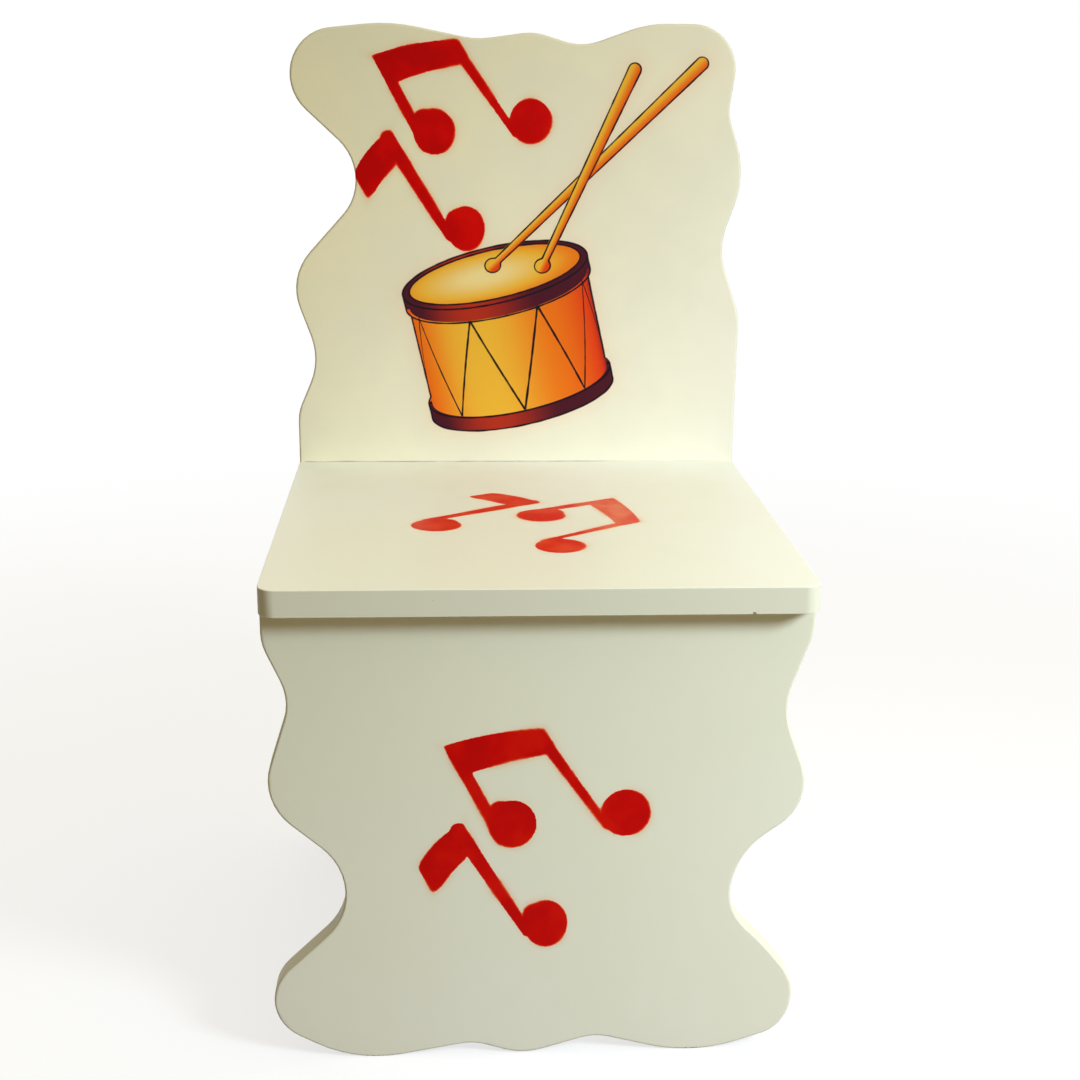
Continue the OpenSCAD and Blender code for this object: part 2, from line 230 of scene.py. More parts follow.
class Nodes:
    """Adds nodes to one shader or geometry tree and joins them as it goes."""

    def __init__(self, tree):
        self.tree = tree
        self.given = {}

    def join(self, socket, value):
        if isinstance(value, Term):
            value = value.socket
        if isinstance(value, bpy.types.NodeSocket):
            self.tree.links.new(value, socket)
        elif socket.type == "RGBA":
            socket.default_value = (*value[:3], 1.0)
        else:
            socket.default_value = value

    def add(self, kind, inputs=None, **settings):
        """Adds a node. Its inputs go by name or by number."""
        node = self.tree.nodes.new(kind)
        for name, value in settings.items():
            setattr(node, name, value)
        for name, value in (inputs or {}).items():
            self.join(node.inputs[name], value)
        return node

    def made(self, kind, inputs=None, **settings):
        """The first output of a new node."""
        return self.add(kind, inputs, **settings).outputs[0]

    def number(self, node, output):
        return Term(self, node.outputs[output])

    def math(self, operation, *values):
        return Term(self, self.made("ShaderNodeMath", dict(enumerate(values)),
                                    operation=operation))

    def clamped(self, value, low, high):
        return self.math("MINIMUM", self.math("MAXIMUM", value, low), high)

    def smallest(self, values, soft=0.0):
        """The least of several values. A soft width rounds the change from one to the next."""
        return self.chained("SMOOTH_MIN" if soft else "MINIMUM", values, soft)

    def largest(self, values, soft=0.0):
        return self.chained("SMOOTH_MAX" if soft else "MAXIMUM", values, soft)

    def chained(self, operation, values, soft):
        result = values[0]
        for value in values[1:]:
            result = self.math(operation, result, value, *([soft] if soft else []))
        return result

    def vector(self, operation, *values, output="Vector"):
        node = self.add("ShaderNodeVectorMath", dict(enumerate(values)), operation=operation)
        return node.outputs[output]

    def minus(self, vector, other):
        return self.vector("SUBTRACT", vector, other)

    def scaled(self, vector, factor):
        return self.made("ShaderNodeVectorMath", {0: vector, "Scale": factor}, operation="SCALE")

    def dot(self, vector, other):
        return Term(self, self.vector("DOT_PRODUCT", vector, other, output="Value"))

    def size(self, vector):
        return Term(self, self.vector("LENGTH", vector, output="Value"))

    def split(self, vector):
        node = self.add("ShaderNodeSeparateXYZ", {0: vector})
        return [Term(self, output) for output in node.outputs]

    def point(self, x, y, z=0.0):
        return self.made("ShaderNodeCombineXYZ", {0: x, 1: y, 2: z})

    def fade(self, value, start, end, low=0.0, high=1.0):
        """Goes smoothly from low to high as the value goes from start to end."""
        node = self.add("ShaderNodeMapRange",
                        {"Value": value, "From Min": start, "From Max": end, "To Min": low,
                         "To Max": high}, interpolation_type="SMOOTHSTEP")
        return self.number(node, "Result")

    def blend(self, factor, first, second):
        """First where the factor is 0, second where it is 1. A Mix node takes its colours in at 6
        and 7, and puts the result out at 2."""
        node = self.add("ShaderNodeMix", {0: factor, 6: first, 7: second}, data_type="RGBA")
        return node.outputs[2]

    def coats(self, tone, *coats):
        """A colour under coats of others, each given as its mask and its colour."""
        for mask, coat in coats:
            tone = self.blend(mask, tone, coat)
        return tone

    def noise(self, position, scale, detail=2.0, roughness=0.5):
        """Noise from 0 to 1. The scale goes by the position's own unit."""
        node = self.add("ShaderNodeTexNoise",
                        {"Vector": position, "Scale": scale, "Detail": detail,
                         "Roughness": roughness}, noise_dimensions="3D")
        return self.number(node, "Fac")

    def sway(self, *settings):
        """Noise that goes both ways from 0."""
        return self.noise(*settings) - 0.5

    def use(self, name, **inputs):
        """Places a shared group. Words in an input's name are joined by an underscore."""
        group = shared_group(name)
        named = {label.replace("_", " "): value for label, value in inputs.items()}
        return self.add(group.bl_idname.replace("Tree", "Group"), named, node_tree=group)

    def distance(self, name, **inputs):
        return self.number(self.use(name, **inputs), "Distance")


# Kinds of socket
FLOAT = "NodeSocketFloat"
WHOLE = "NodeSocketInt"
VECTOR = "NodeSocketVector"
COLOUR = "NodeSocketColor"
GEOMETRY = "NodeSocketGeometry"
MATERIAL = "NodeSocketMaterial"
OBJECT = "NodeSocketObject"


def start_group(name, inputs, outputs, kind="ShaderNodeTree"):
    """A new node group. An input is its label, its kind and, where it has one, its default. The
    group's inputs are in given, and its end is in end."""
    tree = bpy.data.node_groups.new(name, kind)
    for label, socket_type, *default in inputs:
        socket = tree.interface.new_socket(label, in_out="INPUT", socket_type=socket_type)
        if default:
            socket.default_value = default[0]
    for label, socket_type in outputs:
        tree.interface.new_socket(label, in_out="OUTPUT", socket_type=socket_type)
    nodes = Nodes(tree)
    start = nodes.add("NodeGroupInput")
    for label, socket_type, *_ in inputs:
        socket = start.outputs[label]
        nodes.given[label] = Term(nodes, socket) if socket_type == FLOAT else socket
    nodes.end = nodes.add("NodeGroupOutput")
    return nodes


def finish_group(nodes, **outputs):
    for name, value in outputs.items():
        nodes.join(nodes.end.inputs[name], value)
    return nodes.tree


def shared_group(name):
    """The node group of that name, built the first time that it is asked for."""
    return bpy.data.node_groups.get(name) or GROUP_BUILDERS[name]()


# Shapes of the paint. Each puts out the distance to its edge, negative inside.

LINE = [("From", VECTOR), ("To", VECTOR)]


def start_shape(name, *inputs, more=()):
    return start_group(name, [("Position", VECTOR), *inputs], [("Distance", FLOAT), *more])


def round_shape():
    """Circle or ellipse."""
    nodes = start_shape("Round Shape", ("Centre", VECTOR), ("Radii", VECTOR, (1.0, 1.0, 1.0)))
    given = nodes.given
    once = nodes.vector("DIVIDE", nodes.minus(given["Position"], given["Centre"]), given["Radii"])
    reach = nodes.size(once)
    steepness = nodes.size(nodes.vector("DIVIDE", once, given["Radii"]))
    return finish_group(nodes, Distance=reach * (reach - 1.0) / steepness)


def line_ways(nodes):
    """From a line's start to its end, from its start to the position, and one unit to its right."""
    given = nodes.given
    run = nodes.minus(given["To"], given["From"])
    right = nodes.vector("NORMALIZE", nodes.vector("CROSS_PRODUCT", run, UP))
    return run, nodes.minus(given["Position"], given["From"]), right


def stroke_shape():
    """Straight stroke with round ends that may differ in width."""
    nodes = start_shape("Stroke Shape", *LINE, ("Start Radius", FLOAT, 1.0),
                        ("End Radius", FLOAT, 1.0), more=[("Across", FLOAT)])
    run, away, right = line_ways(nodes)
    share = nodes.clamped(nodes.dot(away, run) / nodes.dot(run, run), 0.0, 1.0)
    gap = nodes.size(nodes.minus(away, nodes.scaled(run, share)))
    start, end = nodes.given["Start Radius"], nodes.given["End Radius"]
    radius = start + (end - start) * share
    return finish_group(nodes, Distance=gap - radius, Across=nodes.dot(away, right) / radius)


def side_shape():
    """Everything to the left of a straight line."""
    nodes = start_shape("Side Shape", *LINE)
    _, away, right = line_ways(nodes)
    return finish_group(nodes, Distance=nodes.dot(away, right))


def panel_distance(nodes, position, corners, soft):
    """Distance to a panel whose corners run anticlockwise."""
    ends = [(*corner, 0.0) for corner in corners]
    sides = [nodes.distance("Side Shape", Position=position, From=a, To=b)
             for a, b in zip(ends, ends[1:] + ends[:1])]
    return nodes.largest(sides, soft)


def bowed_place(nodes, position, middle, along, half, rise):
    """The position as it was before the shape was bowed to the left of a direction."""
    length_along = math.hypot(*along)
    way = (along[0] / length_along, along[1] / length_along, 0.0)
    left = (-way[1], way[0], 0.0)
    share = nodes.dot(nodes.minus(position, (*middle, 0.0)), way) / half
    lift = nodes.math("MAXIMUM", rise - rise * share * share, 0.0)
    return nodes.minus(position, nodes.scaled(left, lift))


# The notes, in millimetres from the outer corner of the beam. Beam and flag are panels: their
# corners, how soft these are, and the middle, way, half length and rise of the bow.
NOTE_PANELS = [
    ([(-0.5, 0.1), (13.6, -19.3), (60.0, -5.5), (64.0, 0.2), (57.6, 9.8)], 3.6,
     ((30.0, 0.0), (1.0, 0.0), 32.0, 2.7)),
    ([(11.0, -48.0), (-15.7, -76.8), (-6.8, -93.8), (15.6, -72.8)], 5.0,
     ((-2.3, -62.0), (24.3, 26.5), 19.5, 2.8)),
]
# Stems, with both ends and the radius at each
NOTE_STEMS = [
    ((5.4, -2.9), (33.8, -59.1), 3.6, 3.1),
    ((60.9, -1.6), (95.6, -51.4), 3.0, 2.1),
    ((8.2, -53.2), (49.2, -120.8), 4.5, 2.8),
]
# Middles and radii of the heads. Two of them have a second round where they meet their stem.
NOTE_HEADS = [
    ((40.1, -49.6), (13.9, 14.9)), ((33.0, -41.6), (6.6, 6.6)), ((106.5, -43.4), (14.4, 14.7)),
    ((60.3, -115.4), (13.0, 15.2)), ((54.2, -109.8), (7.4, 7.4)),
]
NOTE_SOFT = 2.0


def notes_shape():
    """Two beamed notes and a single one."""
    nodes = start_shape("Music Notes")
    position = nodes.given["Position"]
    parts = [panel_distance(nodes, bowed_place(nodes, position, *bow), corners, soft)
             for corners, soft, bow in NOTE_PANELS]
    for a, b, wide, narrow in NOTE_STEMS:
        parts.append(nodes.distance("Stroke Shape", Position=position, From=(*a, 0.0),
                                    To=(*b, 0.0), Start_Radius=wide, End_Radius=narrow))
    for centre, radii in NOTE_HEADS:
        parts.append(nodes.distance("Round Shape", Position=position, Centre=(*centre, 0.0),
                                    Radii=(*radii, 1.0)))
    return finish_group(nodes, Distance=nodes.smallest(parts, NOTE_SOFT))


def barrel_shape():
    """Outline of an upright round barrel, seen a little from above."""
    nodes = start_shape("Barrel Shape", ("Half Width", FLOAT, 1.0), ("Bow", FLOAT, 1.0),
                        ("Bottom", FLOAT, -1.0), ("Top", FLOAT, 1.0))
    given = nodes.given
    x, y, _ = nodes.split(given["Position"])
    middle = (given["Bottom"] + given["Top"]) * 0.5
    wall = nodes.largest([abs(x) - given["Half Width"],
                          abs(y - middle) - (given["Top"] - given["Bottom"]) * 0.5])
    radii = nodes.point(given["Half Width"], given["Bow"], 1.0)
    ends = [nodes.distance("Round Shape", Position=given["Position"],
                           Centre=nodes.point(0.0, given[end]), Radii=radii)
            for end in ("Bottom", "Top")]
    return finish_group(nodes, Distance=nodes.smallest([wall, *ends]))


# Sizes of the drum, in millimetres
DRUM_HALF_WIDTH = 64.0
DRUM_HALF_HEIGHT = 45.0
DRUM_BOW = 19.0
HOOP_HEIGHT = 10.0
HOOP_OUT = 2.5
HOOP_HALF_WIDTH = DRUM_HALF_WIDTH + HOOP_OUT
HOOP_BOW = DRUM_BOW * HOOP_HALF_WIDTH / DRUM_HALF_WIDTH
SKIN_IN, SKIN_BOW_IN, SKIN_UP = 5.0, 2.8, 0.6
SKIN_GLOW = (-8.0, DRUM_HALF_HEIGHT + 1.0, 0.0)
CORD_TURNS = 4.0
STICKS = [((0.0, 52.0), (170.0, 154.0)), ((34.0, 44.0), (124.0, 160.0))]
STICK_RADII = (2.3, 4.4)
BEAD_RADII = (5.6, 5.0, 1.0)
BEAD_SOFT = 1.5
HAZE_REACH = 5.0

# Look of the drum: how far round to the left its light stripe lies, half the width over which a
# painted edge fades, how thick an ink line is to the others, and the lightest colour of the skin
STRIPE_LEFT = 0.22
PAINT_EDGE = 0.3
CORD_INK, STICK_INK = 1.25, 0.9
SKIN_LIGHT = (0.95, 0.74, 0.30)

# A noise is its scale and, where they aren't the usual ones, its detail and roughness. A fade is
# two values and, where it isn't from 0 to 1, what it leads to at each.

# How unsteady the drum's lines are, and the mist of its paint with its share in each tone
LINE_WOBBLE = (0.09,)
INK_SHARE, INK_UNSTEADY = 0.42, 0.5
PAINT_MIST = (1.6, 3.0, 0.7)
SHELL_MIST, SKIN_MIST, STICK_MIST = 0.22, 0.2, 0.8

# Where each darker paint begins and is full, away from the lit side
SHELL_ORANGE, SHELL_VERMILION = (0.05, 0.55), (0.45, 1.05)
SHELL_MAROON = (0.95, 1.25, 0.0, 0.85)
HOOP_LIGHT = (0.0, 0.5, 0.55, 0.0)
HOOP_SOFT = 0.2
SKIN_YELLOW, SKIN_ORANGE = (0.1, 0.75), (0.6, 1.05)
STICK_ORANGE, STICK_VERMILION = (-0.7, 0.5), (0.3, 1.1, 0.0, 0.9)

# The haze round the drum: its share, how far the mist changes it, and where paint covers it
HAZE_SHARE, HAZE_MIST = 0.16, 0.2
HAZE_COVERED = (0.0, 0.6)
OUTER_EDGE = PAINT_EDGE + 0.1

# The drum's paints, each named as its input and its colour in the panel are
PAINTS = ["Yellow", "Orange", "Vermilion", "Maroon", "Ink"]


def inside(nodes, distance):
    """1 inside a painted form, 0 outside."""
    return nodes.fade(distance, PAINT_EDGE, -PAINT_EDGE)


def drum_stick(nodes, tip, butt, mist, ink_half):
    """A stick with a bead at its tip: distance to its edge, where it covers, and its colour."""
    position = nodes.given["Position"]
    yellow, orange, vermilion, _, ink = [nodes.given[name] for name in PAINTS]
    stick = nodes.use("Stroke Shape", Position=position, From=(*tip, 0.0), To=(*butt, 0.0),
                      Start_Radius=STICK_RADII[0], End_Radius=STICK_RADII[1])
    bead = nodes.distance("Round Shape", Position=position, Centre=(*tip, 0.0), Radii=BEAD_RADII)
    edge = nodes.smallest([nodes.number(stick, "Distance"), bead], BEAD_SOFT)
    lit = nodes.number(stick, "Across") + mist * STICK_MIST
    line = ink_half * STICK_INK
    wood = nodes.coats(yellow, (nodes.fade(lit, *STICK_ORANGE), orange),
                       (nodes.fade(lit, *STICK_VERMILION), vermilion),
                       (inside(nodes, abs(edge) - line), ink))
    return edge, inside(nodes, edge - line), wood


def drum_picture():
    """A side drum with two sticks: colour, and how much of the lacquer it covers."""
    nodes = start_group("Drum Picture",
                        [("Position", VECTOR), ("Ink Width", FLOAT, 1.5),
                         *[(name, COLOUR) for name in PAINTS]],
                        [("Colour", COLOUR), ("Cover", FLOAT)])
    yellow, orange, vermilion, maroon, ink = [nodes.given[name] for name in PAINTS]
    position = nodes.given["Position"]
    x, y, _ = nodes.split(position)
    wobble = nodes.sway(position, *LINE_WOBBLE)
    mist = nodes.sway(position, *PAINT_MIST)
    ink_half = nodes.given["Ink Width"] * (INK_SHARE + wobble * INK_UNSTEADY)
    across = nodes.clamped(x / DRUM_HALF_WIDTH, -1.0, 1.0)
    turn = nodes.math("ARCSINE", across) / (math.pi / 2)
    level = y + nodes.math("SQRT", 1.0 - across * across) * DRUM_BOW
    high, low = DRUM_HALF_HEIGHT, -DRUM_HALF_HEIGHT
    hoop_foot, hoop_head = high - HOOP_HEIGHT, low + HOOP_HEIGHT

    def barrel(half_width, bow, bottom, top):
        return nodes.distance("Barrel Shape", Position=position, Half_Width=half_width,
                              Bow=bow, Bottom=bottom, Top=top)

    def oval(height, half_width=HOOP_HALF_WIDTH, bow=HOOP_BOW):
        return nodes.distance("Round Shape", Position=position, Centre=(0.0, height, 0.0),
                              Radii=(half_width, bow, 1.0))

    outline = nodes.smallest([barrel(DRUM_HALF_WIDTH, DRUM_BOW, low, high),
                              barrel(HOOP_HALF_WIDTH, HOOP_BOW, hoop_foot, high),
                              barrel(HOOP_HALF_WIDTH, HOOP_BOW, low, hoop_head)])
    hoop_top = oval(high)
    skin = oval(high + SKIN_UP, HOOP_HALF_WIDTH - SKIN_IN, HOOP_BOW - SKIN_BOW_IN)

    # Shell: light along its stripe, dark towards both sides
    shade = abs(turn + STRIPE_LEFT) + mist * SHELL_MIST
    tone = nodes.coats(yellow, (nodes.fade(shade, *SHELL_ORANGE), orange),
                       (nodes.fade(shade, *SHELL_VERMILION), vermilion),
                       (nodes.fade(shade, *SHELL_MAROON), maroon))

    # Hoops, with a soft highlight along the same stripe
    is_hoop = nodes.largest([nodes.fade(level, hoop_foot - HOOP_SOFT, hoop_foot + HOOP_SOFT),
                             nodes.fade(level, hoop_head + HOOP_SOFT, hoop_head - HOOP_SOFT)])
    hoop_tone = nodes.blend(nodes.fade(shade, *HOOP_LIGHT), maroon, vermilion)

    # Cords zigzag from hoop to hoop
    reach = DRUM_HALF_HEIGHT - HOOP_HEIGHT
    zigzag = (nodes.math("PINGPONG", turn * CORD_TURNS, 1.0) * 2.0 - 1.0) * reach
    steepness = 2.0 * reach * CORD_TURNS / (DRUM_HALF_WIDTH * math.pi / 2)
    cord = abs(level - zigzag) / math.hypot(1.0, steepness)
    is_cord = inside(nodes, cord - ink_half * CORD_INK) * (1.0 - is_hoop)

    # Head, lighter left of its middle
    reach_out = nodes.size(nodes.vector("DIVIDE", nodes.minus(position, SKIN_GLOW),
                                        (HOOP_HALF_WIDTH, HOOP_BOW, 1.0)))
    skin_shade = reach_out + mist * SKIN_MIST
    skin_tone = nodes.coats(SKIN_LIGHT, (nodes.fade(skin_shade, *SKIN_YELLOW), yellow),
                            (nodes.fade(skin_shade, *SKIN_ORANGE), orange))

    # Ink along the outline, the hoops and the head
    arcs = [nodes.largest([abs(oval(height)), y - height]) for height in (hoop_foot, hoop_head)]
    lines = nodes.smallest([abs(outline), abs(hoop_top), abs(skin), *arcs])
    tone = nodes.coats(tone, (is_hoop, hoop_tone), (is_cord, ink),
                       (inside(nodes, hoop_top), hoop_tone), (inside(nodes, skin), skin_tone),
                       (inside(nodes, lines - ink_half), ink))
    cover = nodes.fade(outline - ink_half, OUTER_EDGE, -PAINT_EDGE)

    # Sticks, whose beads rest on the head
    figure = outline
    for tip, butt in STICKS:
        edge, is_stick, wood = drum_stick(nodes, tip, butt, mist, ink_half)
        tone = nodes.blend(is_stick, tone, wood)
        cover = nodes.largest([cover, is_stick])
        figure = nodes.smallest([figure, edge])

    # A faint mist of the orange round it all
    away = nodes.math("MAXIMUM", figure, 0.0)
    haze = nodes.math("EXPONENT", away / -HAZE_REACH) * (HAZE_SHARE + mist * HAZE_MIST)
    haze = nodes.math("MAXIMUM", haze, 0.0)
    tone = nodes.blend(nodes.fade(cover, *HAZE_COVERED), orange, tone)
    return finish_group(nodes, Colour=tone, Cover=nodes.largest([cover, haze]))


# Finishes that several materials share

# Sprayed paint follows slow noises: how thick it lies in patches, how soft its edge is, and how
# much mist is round it. Each is given as two values of the noise and what it leads to at each.
SPRAY_PATCHES = (0.35, 0.65, 0.95, 1.65)
SPRAY_SOFTNESS = (0.38, 0.62, 0.8, 2.8)
SPRAY_MIST = (0.35, 0.65, 0.012, 0.09)

# Noises of the paint: its rough edge, its grains, its drift and its patches. What follows is how
# far the first two shift the edge in millimetres, and what else they change.
ROUGH_NOISE = (0.45, 3.0)
SPRAY_GRAINS = (2.4, 2.0, 0.8)
DRIFT_NOISE = (0.035, 1.0)
PATCH_NOISE = (0.04,)
ROUGH_SHIFT, GRAIN_SHIFT = 0.9, 0.4
ROUGH_PATCHES, GRAINY_MIST = 0.15, 1.2
SOFT_SHARE = 0.6


def spray_paint():
    """Stencilled glaze with a rough edge and a mist round it, redder where it lies thicker."""
    nodes = start_group("Spray Paint",
                        [("Ground", COLOUR), ("Full Coat", COLOUR), ("Position", VECTOR),
                         ("Distance", FLOAT, 1.0), ("Edge", FLOAT, 0.8), ("Reach", FLOAT, 2.0),
                         ("Thickness", FLOAT, 1.0), ("Mask", FLOAT, 1.0)],
                        [("Colour", COLOUR), ("Cover", FLOAT)])
    given = nodes.given
    position = given["Position"]
    rough = nodes.sway(position, *ROUGH_NOISE)
    grains = nodes.sway(position, *SPRAY_GRAINS)
    drift = nodes.noise(position, *DRIFT_NOISE)
    patches = nodes.noise(position, *PATCH_NOISE) + rough * ROUGH_PATCHES
    gap = given["Distance"] + rough * ROUGH_SHIFT
    soft = given["Edge"] * nodes.fade(drift, *SPRAY_SOFTNESS)
    solid = nodes.fade(gap + grains * GRAIN_SHIFT, soft * SOFT_SHARE, soft * -SOFT_SHARE)
    solid = solid * (given["Thickness"] * nodes.fade(patches, *SPRAY_PATCHES))
    away = nodes.math("MAXIMUM", gap, 0.0)
    mist = nodes.math("EXPONENT", away / given["Reach"] * -1.0)
    mist = mist * nodes.fade(drift, *SPRAY_MIST) * (1.0 + grains * GRAINY_MIST)
    coats = nodes.largest([solid, mist, 0.0]) * given["Mask"]
    left_over = [ground * nodes.math("POWER", share, coats) for ground, share
                 in zip(nodes.split(given["Ground"]), nodes.split(given["Full Coat"]))]
    return finish_group(nodes, Colour=nodes.point(*left_over), Cover=nodes.smallest([coats, 1.0]))


EDGE_WIDTH = 0.9


def board_edge():
    """How much a point belongs to the edge of a board and not to one of its two faces."""
    nodes = start_group("Board Edge", [("Depth", FLOAT, 0.0), ("Thickness", FLOAT, 16.0)],
                        [("Edge", FLOAT)])
    depth = nodes.given["Depth"]
    nearest = nodes.smallest([depth, nodes.given["Thickness"] - depth])
    return finish_group(nodes, Edge=nodes.fade(nearest, 0.0, EDGE_WIDTH))


def board_face():
    """Place on a board's painted face, as across, up and depth below the face."""
    nodes = start_group("Board Face",
                        [("Position", VECTOR), ("Origin", VECTOR), ("Across", VECTOR, RIGHT),
                         ("Up", VECTOR, UP), ("Inward", VECTOR, REAR)],
                        [("Spot", VECTOR), ("Depth", FLOAT)])
    given = nodes.given
    away = nodes.scaled(nodes.minus(given["Position"], given["Origin"]), TO_MM)
    across, up, depth = [nodes.dot(away, given[axis]) for axis in ("Across", "Up", "Inward")]
    return finish_group(nodes, Spot=nodes.point(across, up), Depth=depth)


# Gloss of the lacquer as roughness, and how many nibs there are to a millimetre
BOARD_GLOSS, RAIL_GLOSS = 0.34, 0.46
NIB_SCALE = 0.03

# Noises of the lacquer: its slow drift, its clouds, its orange peel and the dust in it
LACQUER_DRIFT = (0.009,)
LACQUER_CLOUDS = (0.06, 3.0)
ORANGE_PEEL = (0.30, 2.0, 0.4)
LACQUER_DUST = (1.1, 2.0, 0.6)

# Tint: how far the clouds change the drift, where it fades in, and its greatest share
CLOUDY_TINT, TINT_FADE, TINT_SHARE = 0.25, (0.35, 0.70), 0.4

# A nib: its rim, which cells have one, its share of the bare colour, and its height
NIB_RIM, NIB_CHOSEN = (0.9, 0.2), (0.66, 0.67)
NIB_SHARE, NIB_HEIGHT = 0.10, 4.0

# How far clouds and the board's edge change roughness, and how high the dust lies on both
CLOUD_ROUGHER, EDGE_ROUGHER = 0.12, 0.10
FACE_DUST, EDGE_DUST = 0.12, 0.9


def satin_lacquer():
    """Sprayed lacquer: slow drift of its tint, orange peel, and a drier, darker edge with dull
    spots, whose colour is partly painted shade.
    """
    nodes = start_group("Satin Lacquer",
                        [("Position", VECTOR), ("Colour", COLOUR), ("Shade", COLOUR),
                         ("Edge Colour", COLOUR), ("Bare", COLOUR), ("Edge", FLOAT, 0.0),
                         ("Gloss", FLOAT, BOARD_GLOSS)],
                        [("Colour", COLOUR), ("Roughness", FLOAT), ("Height", FLOAT)])
    given = nodes.given
    position = nodes.scaled(given["Position"], TO_MM)
    drift = nodes.noise(position, *LACQUER_DRIFT)
    clouds = nodes.sway(position, *LACQUER_CLOUDS)
    peel = nodes.noise(position, *ORANGE_PEEL)
    dust_and_shade = nodes.sway(position, *LACQUER_DUST)
    tint = nodes.fade(drift + clouds * CLOUDY_TINT, *TINT_FADE)
    # A nib is a speck of dust under the lacquer, in one cell out of three
    cells = nodes.add("ShaderNodeTexVoronoi", {"Vector": position, "Scale": NIB_SCALE})
    chosen = nodes.split(cells.outputs["Color"])[0]
    reach = nodes.number(cells, "Distance") / NIB_SCALE
    nib = nodes.fade(reach, *NIB_RIM) * nodes.fade(chosen, *NIB_CHOSEN)
    # The edge colour is partly lacquer sunk into the cut edges and partly painted shade
    tone = nodes.coats(given["Colour"], (tint * TINT_SHARE, given["Shade"]),
                       (given["Edge"], given["Edge Colour"]), (nib * NIB_SHARE, given["Bare"]))
    roughness = given["Gloss"] + clouds * CLOUD_ROUGHER + given["Edge"] * EDGE_ROUGHER
    height = peel + dust_and_shade * (FACE_DUST + given["Edge"] * EDGE_DUST) + nib * NIB_HEIGHT
    return finish_group(nodes, Colour=tone, Roughness=roughness, Height=height)


# Rubbed spots: the noises of where they are and of their grain, the fades of the first along the
# edges, of the height above the floor in millimetres, and of the spots, and how likely each is
RUBBED_WHERE = (0.045,)
RUBBED_GRAIN = (0.55, 3.0, 0.65)
RUBBED_EDGE, SCUFFED_FOOT = (0.56, 0.72), (3.0, 0.3)
RUBBED_THROUGH = (0.80, 0.88, 0.0, 0.75)
EDGE_LIKELY, FOOT_LIKELY = 0.16, 0.30


def rubbed_spots():
    """Spots where the lacquer is rubbed through, along the edges and near the floor."""
    nodes = start_group("Rubbed Spots",
                        [("Position", VECTOR), ("Edge", FLOAT, 0.0), ("Floor", FLOAT, 0.0)],
                        [("Spots", FLOAT)])
    given = nodes.given
    position = nodes.scaled(given["Position"], TO_MM)
    where = nodes.noise(position, *RUBBED_WHERE)
    grain = nodes.noise(position, *RUBBED_GRAIN)
    scuffed = nodes.fade(nodes.split(position)[UPWARD], *SCUFFED_FOOT) * given["Floor"]
    rubbed = given["Edge"] * nodes.fade(where, *RUBBED_EDGE)
    likely = rubbed * EDGE_LIKELY + scuffed * FOOT_LIKELY
    return finish_group(nodes, Spots=nodes.fade(grain + likely, *RUBBED_THROUGH))


# Materials


def start_material(name):
    """The nodes of a new material, with its shader and the object's own coordinates."""
    material = bpy.data.materials.new(name)
    material.use_nodes = True
    nodes = Nodes(material.node_tree)
    nodes.material = material
    nodes.shader = material.node_tree.nodes["Principled BSDF"]
    nodes.position = nodes.add("ShaderNodeTexCoord").outputs["Object"]
    return nodes


def finish_material(nodes, tone, roughness, height, bump, **constants):
    """Joins colour, roughness and bump. Words in a constant's name are joined by an underscore."""
    bumped = nodes.add("ShaderNodeBump", {"Strength": 1.0, "Distance": bump, "Height": height})
    inputs = {"Base Color": tone, "Roughness": roughness, "Normal": bumped.outputs["Normal"],
              **{name.replace("_", " "): value for name, value in constants.items()}}
    for name, value in inputs.items():
        nodes.join(nodes.shader.inputs[name], value)
    return nodes.material


def finish_by_pattern(nodes, tone, pattern, height, finish, **constants):
    """Finishes a material whose roughness follows a pattern."""
    roughness, change, bump = finish
    return finish_material(nodes, tone, roughness + pattern * change, height, bump, **constants)


SPOT_ROUGHER, SPOT_DEPTH = 0.4, 2.0


def lacquer_surface(nodes, colours, lacquer_colour, edge, gloss, floor):
    """Lacquer with its rubbed spots: its colour, roughness and height."""
    lacquer = nodes.use("Satin Lacquer", Position=nodes.position, Colour=lacquer_colour,
                        Shade=colours.lacquer_shade, Edge_Colour=colours.edge_lacquer_and_shade,
                        Bare=colours.fibre, Edge=edge, Gloss=gloss)
    rubbed = nodes.use("Rubbed Spots", Position=nodes.position, Edge=edge, Floor=floor)
    spots = nodes.number(rubbed, "Spots")
    return (nodes.blend(spots, lacquer.outputs["Colour"], colours.fibre),
            nodes.number(lacquer, "Roughness") + spots * SPOT_ROUGHER,
            nodes.number(lacquer, "Height") - spots * SPOT_DEPTH)


def place_figure(nodes, spot, middle, tilt, size=1.0):
    """Moves a place on the face into a figure's own millimetres."""
    return nodes.made("ShaderNodeMapping",
                      {"Vector": spot, "Location": (middle[0] * TO_MM, middle[1] * TO_MM, 0.0),
                       "Rotation": (0.0, 0.0, tilt), "Scale": (size, size, 1.0)},
                      vector_type="TEXTURE")


# The chip's ragged rim: its noise, how far it shifts the rim, and the rim's fade
CHIP_NOISE = (0.9,)
CHIP_SHIFT = 0.6
CHIP_RIM = (1.0, 0.8)


def chipped_away(nodes, middle, reach):
    """1 inside a small ragged chip with its middle and its half sizes."""
    share = nodes.size(nodes.vector("DIVIDE", nodes.minus(nodes.position, middle), reach))
    ragged = nodes.sway(nodes.scaled(nodes.position, TO_MM), *CHIP_NOISE)
    return nodes.fade(share + ragged * CHIP_SHIFT, *CHIP_RIM)


# Low, because satin lacquer on board throws back less at a flat angle than clear plastic does
SATIN_SPECULAR = 0.10

# How thick the notes' paint lies: two places across the board, and the coats at each. On the back
# the thicker paint at the left is painted shade; on the seat the thinner paint, thinnest to the
# right, is a painted sheen
BACK_SHADED_COATS = (-90.0, 10.0, 1.30, 1.08)
FRONT_COATS = (-90.0, 90.0, 1.05, 1.0)
SEAT_SHEEN_COATS = (5.0, 58.0, 0.62, 0.33)
